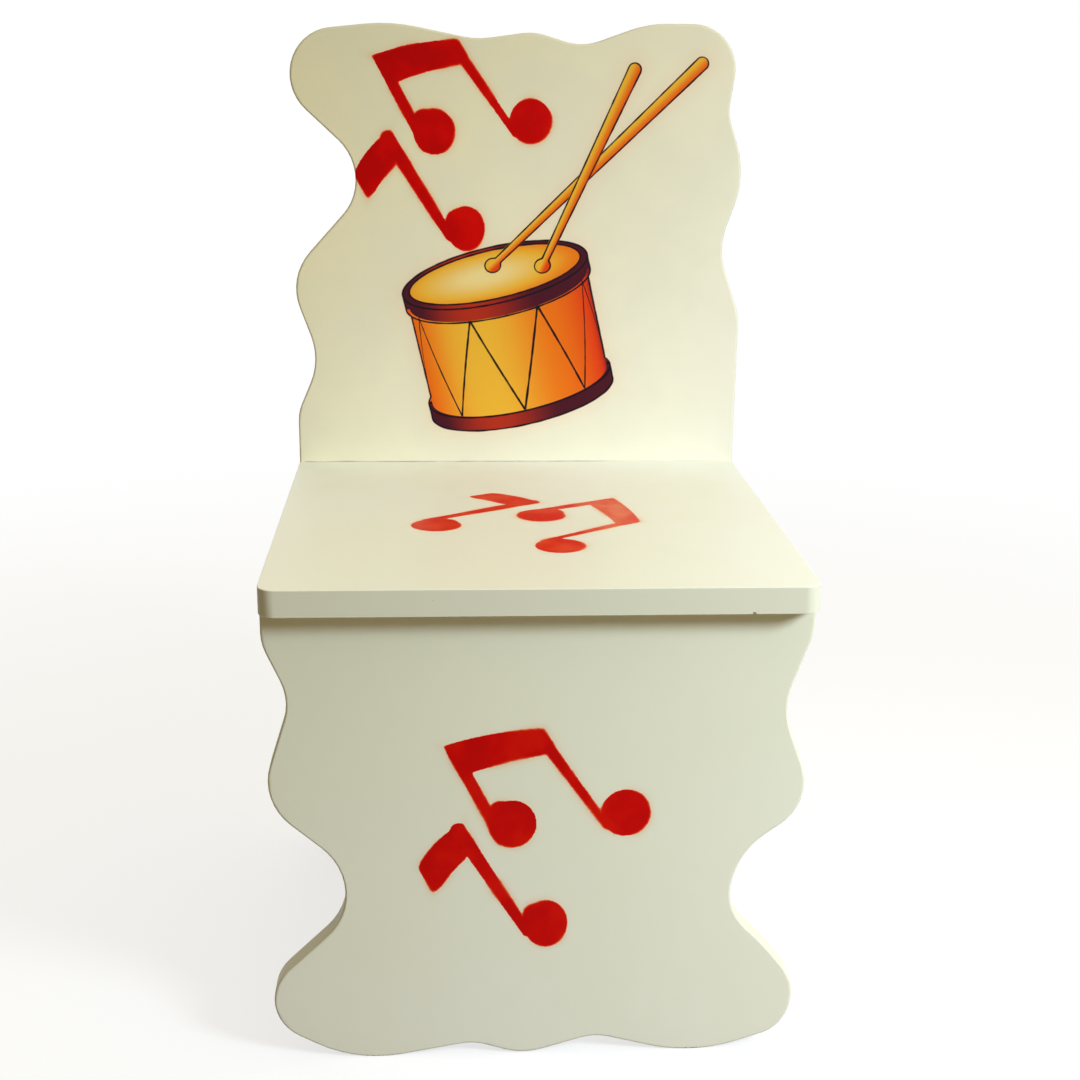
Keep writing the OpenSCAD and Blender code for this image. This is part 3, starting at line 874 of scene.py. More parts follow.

# How the lacquer's colour changes over each board, from painted shade at the first colour to
# painted light at the second: the way across and up, and the places along it, in millimetres, where
# the first colour ends and the second is reached
BACK_LIGHT_CHANGE = ((0.66, -0.75), -360.0, 120.0)
FRONT_LIGHT_CHANGE = ((0.0, -1.0), -310.0, 10.0)
SEAT_LIGHT_CHANGE = ((0.10, 0.99), -200.0, 190.0)

# Depths below a face between which its paint ends, and how much rougher and higher paint is
PAINT_END = (2.6, 1.4)
PAINT_ROUGHER, PAINT_HEIGHT = 0.06, 0.8

# Chip in the seat's lower front edge, with its depth in heights of the orange peel
SEAT_CHIP = ((0.1188, -0.1566, 0.2897), (0.0012, 0.0010, 0.0009))
CHIP_DEPTH = 6.0


def board_material(scene, name, lacquers, change, face, thickness, notes, coats,
                   drum=None, chip=None):
    """Lacquered board with sprayed notes, and with the drum and a chip where they are given."""
    colours, finish = scene.chair_colours, scene.chair_finish
    nodes = start_material(name)
    on_board = nodes.use("Board Face", Position=nodes.position, **face)
    spot, depth = on_board.outputs["Spot"], nodes.number(on_board, "Depth")
    edge = nodes.number(nodes.use("Board Edge", Depth=depth, Thickness=thickness), "Edge")
    # Painted light and shade: the lacquer is darker and yellower towards one end of the board,
    # lighter towards the other
    way, start, end = change
    lacquer = nodes.blend(nodes.fade(nodes.dot(spot, (*way, 0.0)), start, end), *lacquers)
    tone, roughness, height = lacquer_surface(nodes, colours, lacquer, edge, BOARD_GLOSS, 1.0)
    if chip:
        chipped = chipped_away(nodes, *chip)
        tone = nodes.blend(chipped, tone, colours.fibre)
        height = height - chipped * CHIP_DEPTH
    on_face = nodes.fade(depth, *PAINT_END)
    cover = 0.0
    if drum:
        picture = nodes.use("Drum Picture", Position=place_figure(nodes, spot, *drum),
                            Ink_Width=finish.ink_line * TO_MM,
                            **{paint: getattr(colours, paint.lower()) for paint in PAINTS})
        cover = nodes.number(picture, "Cover") * on_face
        tone = nodes.blend(cover, tone, picture.outputs["Colour"])
    figure = nodes.distance("Music Notes", Position=place_figure(nodes, spot, *notes))
    # The paint's thickness across the board carries painted shade on the back and a painted sheen
    # on the seat
    spray = nodes.use("Spray Paint", Ground=tone, Full_Coat=colours.red, Position=spot,
                      Distance=figure, Edge=finish.spray_edge * TO_MM,
                      Reach=finish.overspray * TO_MM, Mask=on_face,
                      Thickness=nodes.fade(nodes.split(spot)[ACROSS], *coats))
    paint = nodes.largest([nodes.number(spray, "Cover"), cover])
    return finish_material(nodes, spray.outputs["Colour"], roughness + paint * PAINT_ROUGHER,
                           height + paint * PAINT_HEIGHT, finish.peel_height,
                           Specular_IOR_Level=SATIN_SPECULAR)


# How far the rails count as worn edge, and how much coarser their orange peel is
RAIL_WEAR, RAIL_PEEL = 0.35, 1.4


def rail_material(scene, name):
    """One plain coat of lacquer, a little drier than on the boards."""
    nodes = start_material(name)
    colours = scene.chair_colours
    surface = lacquer_surface(nodes, colours, colours.rail_lacquer, RAIL_WEAR, RAIL_GLOSS, 0.0)
    return finish_material(nodes, *surface, scene.chair_finish.peel_height * RAIL_PEEL)


# Finishes as roughness, how far it changes with the pattern, and the bump's height in metres
FILLER_FINISH = (0.42, 0.15, 0.00012)
BEECH_FINISH = (0.55, 0.20, 0.00008)
ZINC_FINISH = (0.24, 0.22, 0.00002)
CAP_FINISH = (0.40, 0.12, 0.00003)

# The filler's crack, in millimetres: its height over the seat, its wave, how ragged it is, and its
# fade. Then the painted shade along it, how much of that lies beside it, and the crack's depth.
CRACK_HEIGHT = 0.35
CRACK_WAVE, WAVE_RISE = (0.02,), 0.9
CRACK_GRAIN, CRACK_RAGGED = (0.5,), 0.2
CRACK_RIM = (0.42, 0.12)
CRACK_SHADE_NOISE, CRACK_SHADE_FADE = (0.03,), (0.35, 0.62, 0.30, 0.95)
SHADE_BESIDE = 0.15
CRACK_DEPTH = 2.0

# The painted shade fades out to the right: two places across, and how dark it is at each
FILLER_FADE = (20.0, 90.0, 1.0, 0.2)


def filler_material(scene, name):
    """Painted filler with a fine wavy crack, and painted shade along the crack and in patches
    beside it.
    """
    nodes = start_material(name)
    position = nodes.scaled(nodes.position, TO_MM)
    x, _, z = nodes.split(position)
    along = nodes.point(x, 0.0)
    wave = nodes.sway(along, *CRACK_WAVE) * WAVE_RISE
    fine = nodes.noise(position, *CRACK_GRAIN)
    from_seam = abs(z - SEAT_HIGH.z * TO_MM - CRACK_HEIGHT - wave)
    crack = nodes.fade(from_seam + (fine - 0.5) * CRACK_RAGGED, *CRACK_RIM)
    # Painted shade in the corner joint: along the crack, in patches beside it, and darker to the
    # left
    dust_and_shade = nodes.fade(nodes.noise(along, *CRACK_SHADE_NOISE), *CRACK_SHADE_FADE)
    dust_and_shade = dust_and_shade * nodes.fade(x, *FILLER_FADE)
    shade = nodes.math("MAXIMUM", crack * dust_and_shade, dust_and_shade * SHADE_BESIDE)
    tone = nodes.blend(shade, scene.chair_colours.back_lit_foot, scene.chair_colours.filler)
    return finish_by_pattern(nodes, tone, fine, fine - crack * CRACK_DEPTH, FILLER_FINISH,
                             Specular_IOR_Level=SATIN_SPECULAR)


# Beech: how far its grain is drawn out along Y, the scales of its flecks across and along, their
# noises and fades, and how deep a fleck lies
GRAIN_ALONG = 0.06
FLECK_ACROSS, FLECK_ALONG = 3.0, 0.9
GRAIN_NOISE, FLECK_NOISE = (1.4, 4.0, 0.6), (0.9,)
GRAIN_DARK, FLECK_DARK = (0.35, 0.7, 0.0, 0.45), (0.62, 0.70, 0.0, 0.75)
FLECK_DEPTH = 0.4


def beech_material(scene, name):
    """Bare beech: fine grain along Y and short darker flecks."""
    nodes = start_material(name)
    colours = scene.chair_colours
    x, y, z = nodes.split(nodes.scaled(nodes.position, TO_MM))
    grain = nodes.noise(nodes.point(x, y * GRAIN_ALONG, z), *GRAIN_NOISE)
    fleck = nodes.noise(nodes.point(x * FLECK_ACROSS, y * FLECK_ALONG, z), *FLECK_NOISE)
    is_fleck = nodes.fade(fleck, *FLECK_DARK)
    is_dark = nodes.fade(grain, *GRAIN_DARK)
    tone = nodes.coats(colours.beech, (is_dark, colours.beech_fleck),
                       (is_fleck, colours.beech_fleck))
    return finish_by_pattern(nodes, tone, grain, grain + is_fleck * -FLECK_DEPTH, BEECH_FINISH)


# Noises of the zinc's clouds and turning marks, and where the clouds turn dull
ZINC_CLOUDS, TURNING_MARKS = (0.35, 3.0), (6.0, 1.0)
ZINC_DULL = (0.42, 0.68)


def zinc_material(scene, name):
    """Bright zinc plate with dull clouds and fine turning marks."""
    nodes = start_material(name)
    position = nodes.scaled(nodes.position, TO_MM)
    cloud = nodes.noise(position, *ZINC_CLOUDS)
    marks = nodes.noise(nodes.point(0.0, nodes.split(position)[REARWARD]), *TURNING_MARKS)
    dull = nodes.fade(cloud, *ZINC_DULL)
    tone = nodes.blend(dull, scene.chair_colours.zinc, scene.chair_colours.zinc_dull)
    return finish_by_pattern(nodes, tone, dull, marks, ZINC_FINISH, Metallic=1.0)


# Noises of the caps' texture and clouds, and how the clouds shade them
CAP_TEXTURE, CAP_CLOUDS = (3.0,), (0.08,)
CAP_SHADE = (0.3, 0.7, 0.0, 0.5)


def plastic_material(scene, name):
    """Moulded plastic with a fine spark-eroded texture."""
    nodes = start_material(name)
    colours = scene.chair_colours
    position = nodes.scaled(nodes.position, TO_MM)
    texture = nodes.noise(position, *CAP_TEXTURE)
    cloud = nodes.fade(nodes.noise(position, *CAP_CLOUDS), *CAP_SHADE)
    tone = nodes.blend(cloud, colours.cap, colours.lacquer_shade)
    return finish_by_pattern(nodes, tone, texture, texture, CAP_FINISH)


# Pieces


def new_object(name, data):
    """A new object in the scene."""
    thing = bpy.data.objects.new(name, data)
    bpy.context.scene.collection.objects.link(thing)
    return thing


def link_piece(name, mesh, slot, *nodes_replaced):
    """A finished piece that rides on the chair's one body."""
    piece = new_object(name, mesh)
    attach(piece, BODY)
    if nodes_replaced:
        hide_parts(*nodes_replaced)
    return piece


def plain_mesh(work):
    """The mesh of a work object with its modifiers applied. The work object is removed."""
    graph = bpy.context.evaluated_depsgraph_get()
    mesh = bpy.data.meshes.new_from_object(work.evaluated_get(graph),
                                           preserve_all_data_layers=True, depsgraph=graph)
    bpy.data.objects.remove(work)
    return mesh


MERGE_DISTANCE = 1e-5
SHARP_ANGLE = math.radians(47)

# The slope above the right foot of a standing board lies further up than in the CAD: its middle
# and its way down, half its length, half the width of the shift, and how far up it goes
SLOPE_MIDDLE = Vector((0.140, 0.0, 0.060))
SLOPE_WAY = Vector((0.62, 0.0, -0.785))
SLOPE_HALF_LENGTH = 0.065
SLOPE_HALF_WIDTH = 0.030
SLOPE_RISE = 0.0078
SLOPE_CUTS = 26


def swell(share):
    """A smooth wave: 1 in the middle, and 0 from 1 outwards."""
    return max(0.0, 1.0 - share * share) ** 2


def raise_foot_slope(shell):
    """Cuts the board across the slope above its right foot, and lifts the slope in a wave."""
    along = SLOPE_WAY.normalized()
    outward = along.cross(Vector(REAR))
    for cut in range(SLOPE_CUTS + 1):
        share = 2.0 * cut / SLOPE_CUTS - 1.0
        bmesh.ops.bisect_plane(shell, geom=shell.verts[:] + shell.edges[:] + shell.faces[:],
                               dist=MERGE_DISTANCE, plane_no=along,
                               plane_co=SLOPE_MIDDLE + along * share * SLOPE_HALF_LENGTH)
    for point in shell.verts:
        away = point.co - SLOPE_MIDDLE
        height = swell(away.dot(along) / SLOPE_HALF_LENGTH)
        point.co.z += SLOPE_RISE * height * swell(away.dot(outward) / SLOPE_HALF_WIDTH)


def dressed_node(node, material, slot, reshape=None):
    """A merged, smoothly shaded copy of a CAD node that stands for it."""
    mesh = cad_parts[node].data.copy()
    normals = mesh.attributes.get("custom_normal")
    if normals:
        mesh.attributes.remove(normals)
    shell = bmesh.new()
    shell.from_mesh(mesh)
    bmesh.ops.remove_doubles(shell, verts=shell.verts, dist=MERGE_DISTANCE)
    if reshape:
        reshape(shell)
    shell.to_mesh(mesh)
    shell.free()
    mesh.materials.clear()
    mesh.materials.append(material)
    mesh.shade_smooth()
    mesh.set_sharp_from_angle(angle=SHARP_ANGLE)
    work = new_object(node + "_work", mesh)
    work.modifiers.new("Even normals", "WEIGHTED_NORMAL").keep_sharp = True
    return link_piece(node + "_finish", plain_mesh(work), slot, node)


def run_tree(tree_name, name, points, inputs, edges=()):
    """The plain mesh that a geometry tree makes of points. Inputs go by the sockets' names."""
    mesh = bpy.data.meshes.new(name)
    mesh.from_pydata(points, edges, [])
    work = new_object(name + "_work", mesh)
    modifier = work.modifiers.new("Tree", "NODES")
    modifier.node_group = shared_group(tree_name)
    for item in modifier.node_group.interface.items_tree:
        if item.in_out == "INPUT" and item.name in inputs:
            modifier[item.identifier] = inputs[item.name]
    return plain_mesh(work)


# Geometry trees

# Sizes of the turned meshes. The seams are the distances over which their points are merged.
FLUTE_STEPS = 6
DOWEL_RINGS = 6
DOWEL_SEAM = 1e-6
SCREW_SEGMENTS, SCREW_RINGS = 24, 120
SCREW_SEAM = 1e-7
THREAD_SHARE = 0.26
# Share of the shank below which its first row closes on the axis
SHANK_CLOSED = 0.001
BEAD_POINTS = 12
BEAD_NOISE = (0.07, 3.0, 0.6)
BEAD_THINNEST = 0.25


def start_tree(name, *inputs):
    """A geometry tree that works on loose points or edges, and paints what it makes."""
    return start_group(name, [("Geometry", GEOMETRY), *inputs, ("Material", MATERIAL)],
                       [("Geometry", GEOMETRY)], "GeometryNodeTree")


def finish_tree(nodes, geometry):
    real = nodes.made("GeometryNodeRealizeInstances", {"Geometry": geometry})
    painted = nodes.made("GeometryNodeSetMaterial",
                         {"Geometry": real, "Material": nodes.given["Material"]})
    return finish_group(nodes, Geometry=painted)


def smooth_shape(nodes, shape):
    return nodes.made("GeometryNodeSetShadeSmooth", {"Geometry": shape, "Shade Smooth": True})


def turned_tube():
    """Grid wrapped into a tube round Z: the part that dowels and shanks share."""
    nodes = start_group("Turned Tube", [("Segments", WHOLE, 32), ("Rows", WHOLE, 8)],
                        [("Geometry", GEOMETRY), ("Angle", FLOAT), ("Share", FLOAT)],
                        "GeometryNodeTree")
    around = nodes.made("FunctionNodeIntegerMath", {0: nodes.given["Segments"], 1: 1})
    grid = nodes.made("GeometryNodeMeshGrid", {"Size X": 1.0, "Size Y": 1.0, "Vertices X": around,
                                               "Vertices Y": nodes.given["Rows"]})
    x, y, _ = nodes.split(nodes.made("GeometryNodeInputPosition"))
    return finish_group(nodes, Geometry=grid, Angle=(x + 0.5) * (2 * math.pi), Share=y + 0.5)


def turned_shape(nodes, tube, radius, along):
    """The tube's points, put at a radius and a distance along Z."""
    turn = nodes.number(tube, "Angle")
    spot = nodes.point(nodes.math("COSINE", turn) * radius, nodes.math("SINE", turn) * radius,
                       along)
    return nodes.made("GeometryNodeSetPosition",
                      {"Geometry": tube.outputs["Geometry"], "Position": spot})


def placed_copies(nodes, shape, seam):
    """Closes the turned shape, and puts a copy at each point along the axis."""
    closed = nodes.made("GeometryNodeMergeByDistance",
                        {"Geometry": smooth_shape(nodes, shape), "Distance": seam})
    turn = nodes.made("FunctionNodeAlignRotationToVector", {"Vector": nodes.given["Axis"]},
                      axis="Z")
    copies = nodes.made("GeometryNodeInstanceOnPoints",
                        {"Points": nodes.given["Geometry"], "Instance": closed,
                         "Rotation": turn})
    return finish_tree(nodes, copies)


def dowel_tree():
    """Fluted dowels with chamfered ends, one at each point of the mesh."""
    nodes = start_tree("Fluted Dowels", ("Diameter", FLOAT, 0.008), ("Length", FLOAT, 0.03),
                       ("Chamfer", FLOAT, 0.0008), ("Flutes", WHOLE, 16),
                       ("Flute Depth", FLOAT, 0.0002), ("Axis", VECTOR, REAR))
    given = nodes.given
    steps = nodes.made("FunctionNodeIntegerMath", {0: given["Flutes"], 1: FLUTE_STEPS},
                       operation="MULTIPLY")
    tube = nodes.use("Turned Tube", Segments=steps, Rows=DOWEL_RINGS)
    last = DOWEL_RINGS - 1.0
    row = nodes.number(tube, "Share") * last
    # Rows 0 and 5 close the ends, 1 and 4 are the chamfers' small ends, 2 and 3 the full ones
    inner = nodes.smallest([row, last - row])
    from_end = nodes.math("MAXIMUM", inner - 1.0, 0.0) * given["Chamfer"]
    far = nodes.math("GREATER_THAN", row, last / 2)
    along = from_end + far * (given["Length"] - from_end * 2.0)
    wave = nodes.math("COSINE", nodes.number(tube, "Angle") * nodes.math("ROUND", given["Flutes"]))
    groove = nodes.math("MAXIMUM", wave, 0.0) * given["Flute Depth"]
    full = given["Diameter"] * 0.5 - groove
    radius = full - given["Chamfer"] * nodes.math("MAXIMUM", 2.0 - inner, 0.0)
    radius = radius * nodes.math("GREATER_THAN", inner, 0.5)
    return placed_copies(nodes, turned_shape(nodes, tube, radius, along), DOWEL_SEAM)


def screw_tree():
    """One-piece furniture screws: a threaded shank under a turned head, one at each point."""
    nodes = start_tree("Furniture Screws", ("Head", OBJECT), ("Core", FLOAT, 0.005),
                       ("Shank Start", FLOAT, 0.011), ("Length", FLOAT, 0.05),
                       ("Pitch", FLOAT, 0.003), ("Thread", FLOAT, 0.001),
                       ("Axis", VECTOR, FORWARD))
    given = nodes.given
    tube = nodes.use("Turned Tube", Segments=SCREW_SEGMENTS, Rows=SCREW_RINGS)
    share = nodes.number(tube, "Share")
    start, whole = given["Shank Start"], given["Length"]
    along = start + (whole - start) * share
    turns = along / given["Pitch"] + nodes.number(tube, "Angle") / (2 * math.pi)
    phase = nodes.math("FRACT", turns)
    ridge = nodes.math("MAXIMUM", 1.0 - abs(phase - 0.5) / THREAD_SHARE, 0.0)
    core = given["Core"] * 0.5
    tip = nodes.math("MINIMUM", (whole - along) / core, 1.0)
    grown = nodes.math("MINIMUM", (along - start) / given["Pitch"], 1.0)
    radius = (core + ridge * given["Thread"] * grown) * tip
    radius = radius * nodes.math("GREATER_THAN", share, SHANK_CLOSED)
    shape = turned_shape(nodes, tube, radius, along)
    head = nodes.add("GeometryNodeObjectInfo", {"Object": given["Head"]})
    both = nodes.add("GeometryNodeJoinGeometry")
    for part in (shape, head.outputs["Geometry"]):
        nodes.tree.links.new(part, both.inputs[0])
    return placed_copies(nodes, both.outputs[0], SCREW_SEAM)


def bead_tree():
    """Uneven bead of filler along the edges of the mesh."""
    nodes = start_tree("Filler Bead", ("Radius", FLOAT, 0.001), ("Unevenness", FLOAT, 0.5),
                       ("Step", FLOAT, 0.002), ("Seed", FLOAT, 3.0))
    given = nodes.given
    line = nodes.made("GeometryNodeMeshToCurve", {"Mesh": given["Geometry"]})
    fine = nodes.made("GeometryNodeResampleCurve", {"Curve": line, "Length": given["Step"]},
                      mode="LENGTH")
    spot = nodes.scaled(nodes.made("GeometryNodeInputPosition"), TO_MM)
    shifted = nodes.vector("ADD", spot, nodes.point(given["Seed"], 0.0))
    uneven = nodes.sway(shifted, *BEAD_NOISE) * 2.0 * given["Unevenness"]
    size = nodes.math("MAXIMUM", 1.0 + uneven * 2.0, BEAD_THINNEST)
    sized = nodes.made("GeometryNodeSetCurveRadius", {"Curve": fine, "Radius": size})
    ring = nodes.made("GeometryNodeCurvePrimitiveCircle",
                      {"Resolution": BEAD_POINTS, "Radius": given["Radius"]})
    bead = nodes.made("GeometryNodeCurveToMesh", {"Curve": sized, "Profile Curve": ring,
                                                  "Scale": size, "Fill Caps": True})
    return finish_tree(nodes, smooth_shape(nodes, bead))


GROUP_BUILDERS = {
    "Round Shape": round_shape,
    "Stroke Shape": stroke_shape,
    "Side Shape": side_shape,
    "Music Notes": notes_shape,
    "Barrel Shape": barrel_shape,
    "Drum Picture": drum_picture,
    "Spray Paint": spray_paint,
    "Board Edge": board_edge,
    "Board Face": board_face,
    "Satin Lacquer": satin_lacquer,
    "Rubbed Spots": rubbed_spots,
    "Turned Tube": turned_tube,
    "Fluted Dowels": dowel_tree,
    "Furniture Screws": screw_tree,
    "Filler Bead": bead_tree,
}


# Stage

SENSOR_WIDTH = 36.0
CLIP_START = 0.05
FLOOR_SIDES = 96


def make_camera(scene, stage):
    data = bpy.data.cameras.new("Camera")
    data.sensor_width = SENSOR_WIDTH
    data.lens = stage.lens
    data.clip_start = CLIP_START
    camera = new_object("Camera", data)
    forward = Vector((math.sin(stage.yaw) * math.cos(stage.pitch),
                      math.cos(stage.yaw) * math.cos(stage.pitch), -math.sin(stage.pitch)))
    level = Vector((math.cos(stage.yaw), -math.sin(stage.yaw), 0.0))
    upright = level.cross(forward)
    right = math.cos(stage.roll) * level + math.sin(stage.roll) * upright
    up = -math.sin(stage.roll) * level + math.cos(stage.roll) * upright
    turn = Matrix((right, up, -forward)).transposed().to_4x4()
    camera.matrix_world = Matrix.Translation(stage.camera) @ turn
    scene.camera = camera


def make_lamp(stage):
    data = bpy.data.lights.new("Key", "AREA")
    data.shape = "SQUARE"
    data.size = stage.key_size
    data.spread = stage.key_spread
    data.energy = stage.key_power
    data.color = stage.key_colour
    lamp = new_object("Key", data)
    lamp.location = stage.key
    across, up = stage.key_aim
    aim = Vector((across, 0.0, up)) - Vector(stage.key)
    lamp.rotation_euler = aim.to_track_quat("-Z", "Y").to_euler()


def seen_as_white(nodes):
    """1 where the camera, a reflection or a clear material looks, 0 where light is gathered."""
    path = nodes.add("ShaderNodeLightPath")
    return nodes.largest([nodes.number(path, ray) for ray
                          in ("Is Camera Ray", "Is Glossy Ray", "Is Transmission Ray")])


# Way to the middle of the bright sky, and the cosines where it starts and where it is full
SKY_MIDDLE = (0.35, -0.05, 0.935)
SKY_SPREAD = (0.50, 0.94)
# The same for the softer light from behind the chair, which the front faces don't see
REAR_MIDDLE = (0.0, 0.99, 0.14)
REAR_SPREAD = (0.66, 0.96)


def make_sky(scene, stage):
    world = bpy.data.worlds.new("Sky")
    world.use_nodes = True
    scene.world = world
    nodes = Nodes(world.node_tree)
    way = nodes.add("ShaderNodeTexCoord").outputs["Generated"]
    dim, high, rear = [strength * Vector(tone) for strength, tone in (
        (stage.dim_sky, stage.dim_sky_colour), (stage.high_sky, stage.high_sky_colour),
        (stage.rear_sky, stage.rear_sky_colour))]
    background = nodes.coats(dim, (nodes.fade(nodes.dot(way, SKY_MIDDLE), *SKY_SPREAD), high),
                             (nodes.fade(nodes.dot(way, REAR_MIDDLE), *REAR_SPREAD), rear),
                             (seen_as_white(nodes), WHITE))
    nodes.join(world.node_tree.nodes["Background"].inputs["Color"], background)


# How far the floor keeps the object's shadow, and how much of it glows white near the object
FLOOR_NEAR, FLOOR_FAR = 0.45, 1.5
FLOOR_GLOW = 0.72


def make_floor(stage):
    mesh = bpy.data.meshes.new("Floor")
    disc = bmesh.new()
    bmesh.ops.create_circle(disc, cap_ends=True, radius=stage.floor_radius, segments=FLOOR_SIDES)
    disc.to_mesh(mesh)
    disc.free()
    floor = new_object("Floor", mesh)
    material = bpy.data.materials.new("Floor")
    material.use_nodes = True
    mesh.materials.append(material)
    material.node_tree.nodes.clear()
    nodes = Nodes(material.node_tree)
    away = nodes.size(nodes.add("ShaderNodeTexCoord").outputs["Object"])
    seen = seen_as_white(nodes)
    glow = seen * nodes.fade(away, FLOOR_NEAR, FLOOR_FAR, FLOOR_GLOW, 1.0)
    paint = nodes.blend(seen, stage.floor_colour, WHITE)
    plain = nodes.made("ShaderNodeBsdfDiffuse", {"Color": paint})
    white = nodes.made("ShaderNodeEmission", {"Strength": 1.0})
    top = nodes.made("ShaderNodeMixShader", {0: glow, 1: plain, 2: white})
    under = nodes.add("ShaderNodeNewGeometry").outputs["Backfacing"]
    clear = nodes.made("ShaderNodeBsdfTransparent")
    both = nodes.made("ShaderNodeMixShader", {0: under, 1: top, 2: clear})
    nodes.add("ShaderNodeOutputMaterial", {"Surface": both})


# Operators


class CHAIR_OT_stage(bpy.types.Operator):
    """Makes the camera, the lamp, the sky and the floor"""

    bl_idname = "music_chair.stage"
    bl_label = "Stage"

    def execute(self, context):
        scene, stage = context.scene, context.scene.chair_stage
        make_camera(scene, stage)
        make_lamp(stage)
        make_sky(scene, stage)
        make_floor(stage)
        scene.view_settings.view_transform = "Standard"
        return {"FINISHED"}


class CHAIR_OT_boards(bpy.types.Operator):
    """Lacquers the back, the front and the seat, and sprays the figures on them"""

    bl_idname = "music_chair.boards"
    bl_label = "Boards"

    def execute(self, context):
        scene = context.scene
        places, colours = scene.paint_places, scene.chair_colours
        back = board_material(
            scene, "painted_back", (colours.back_shaded_top, colours.back_lit_foot), BACK_LIGHT_CHANGE,
            {"Origin": (0.0, BACK_LOW.y, SEAT_HIGH.z)}, (BACK_HIGH.y - BACK_LOW.y) * TO_MM,
            (places.back_notes, places.back_tilt), BACK_SHADED_COATS,
            drum=(places.drum, places.drum_tilt))
        front = board_material(
            scene, "painted_front", (colours.front_shaded_top, colours.front_lit_foot), FRONT_LIGHT_CHANGE,
            {"Origin": (0.0, FRONT_LOW.y, 0.0)}, (FRONT_HIGH.y - FRONT_LOW.y) * TO_MM,
            (places.front_notes, places.front_tilt), FRONT_COATS)
        seat = board_material(
            scene, "painted_seat", (colours.seat_shaded_near, colours.seat_lit_far), SEAT_LIGHT_CHANGE,
            {"Origin": (0.0, 0.0, SEAT_HIGH.z), "Up": REAR, "Inward": DOWN},
            (SEAT_HIGH.z - SEAT_LOW.z) * TO_MM,
            (places.seat_notes, places.seat_tilt, places.seat_size), SEAT_SHEEN_COATS, chip=SEAT_CHIP)
        dressed_node("back_board", back, "board_lacquer", raise_foot_slope)
        dressed_node("front_board", front, "board_lacquer", raise_foot_slope)
        dressed_node("seat_board", seat, "board_lacquer")
        return {"FINISHED"}


class CHAIR_OT_rails(bpy.types.Operator):
    """Lacquers the two side rails and the lower stretcher"""

    bl_idname = "music_chair.rails"
    bl_label = "Rails"

    def execute(self, context):
        material = rail_material(context.scene, "plain_lacquer")
        for node in ("left_side_rail", "right_side_rail", "lower_stretcher"):
            dressed_node(node, material, "rail_lacquer")
        return {"FINISHED"}


def row_places(node, count, axis, fixed):
    """Middles of equal fixings in a row along one axis of a CAD node's box. Fixed says where
    they are on an axis on which they don't stand in the middle."""
    low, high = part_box(node)
    width = min(span for i, span in enumerate(high - low) if i != axis)
    first, last = low[axis] + width / 2, high[axis] - width / 2
    places = []
    for number in range(count):
        spot = (low + high) / 2
        spot[axis] = first + (last - first) * number / (count - 1)
        for i, value in fixed.items():
            spot[i] = value
        places.append(tuple(spot))
    return places


# Dowel nodes, with their count, the axis of the row and the way that the dowels point
DOWEL_ROWS = {
    "seat_front_dowels": (3, ACROSS, UP),
    "left_rail_seat_dowels": (2, REARWARD, UP),
    "right_rail_seat_dowels": (2, REARWARD, UP),
    "left_rail_front_dowels": (2, UPWARD, REAR),
    "right_rail_front_dowels": (2, UPWARD, REAR),
    "stretcher_front_dowels": (2, UPWARD, REAR),
}


class CHAIR_OT_dowels(bpy.types.Operator):
    """Makes the fluted beech dowels of every hidden joint"""

    bl_idname = "music_chair.dowels"
    bl_label = "Dowels"

    def execute(self, context):
        fixings = context.scene.chair_fixings
        material = beech_material(context.scene, "bare_beech")
        for node, (count, axis, way) in DOWEL_ROWS.items():
            low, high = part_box(node)
            pointing = way.index(1.0)
            mesh = run_tree("Fluted Dowels", node,
                            row_places(node, count, axis, {pointing: low[pointing]}),
                            {"Diameter": high.y - low.y if axis == ACROSS else high.x - low.x,
                             "Length": high[pointing] - low[pointing],
                             "Chamfer": fixings.dowel_chamfer, "Flutes": fixings.flutes,
                             "Flute Depth": fixings.flute_depth, "Axis": way,
                             "Material": material})
            link_piece(node + "_finish", mesh, "dowel_beech", node)
        return {"FINISHED"}


# Screw nodes, with their count and the axis of the row
SCREW_ROWS = {
    "seat_rear_screws": (3, ACROSS),
    "left_rail_rear_screws": (2, UPWARD),
    "right_rail_rear_screws": (2, UPWARD),
    "stretcher_rear_screws": (2, UPWARD),
}

# Turned form of a screw's head in millimetres: its hexagon socket, with the width that the mouth
# is bevelled by, and the radius and depth of each ring down to the end of the shoulder
SOCKET_FLATS = 4.0
SOCKET_DEPTH = 3.0
SOCKET_MOUTH = 0.25
HEAD_RINGS = [(5.0, 0.0), (5.0, 1.0), (3.5, 2.5), (3.5, 11.0)]
SHANK_START = HEAD_RINGS[-1][1]
SCREW_CORE = 5.0
RING_POINTS = 24
SCREW_SHARP_ANGLE = math.radians(38)


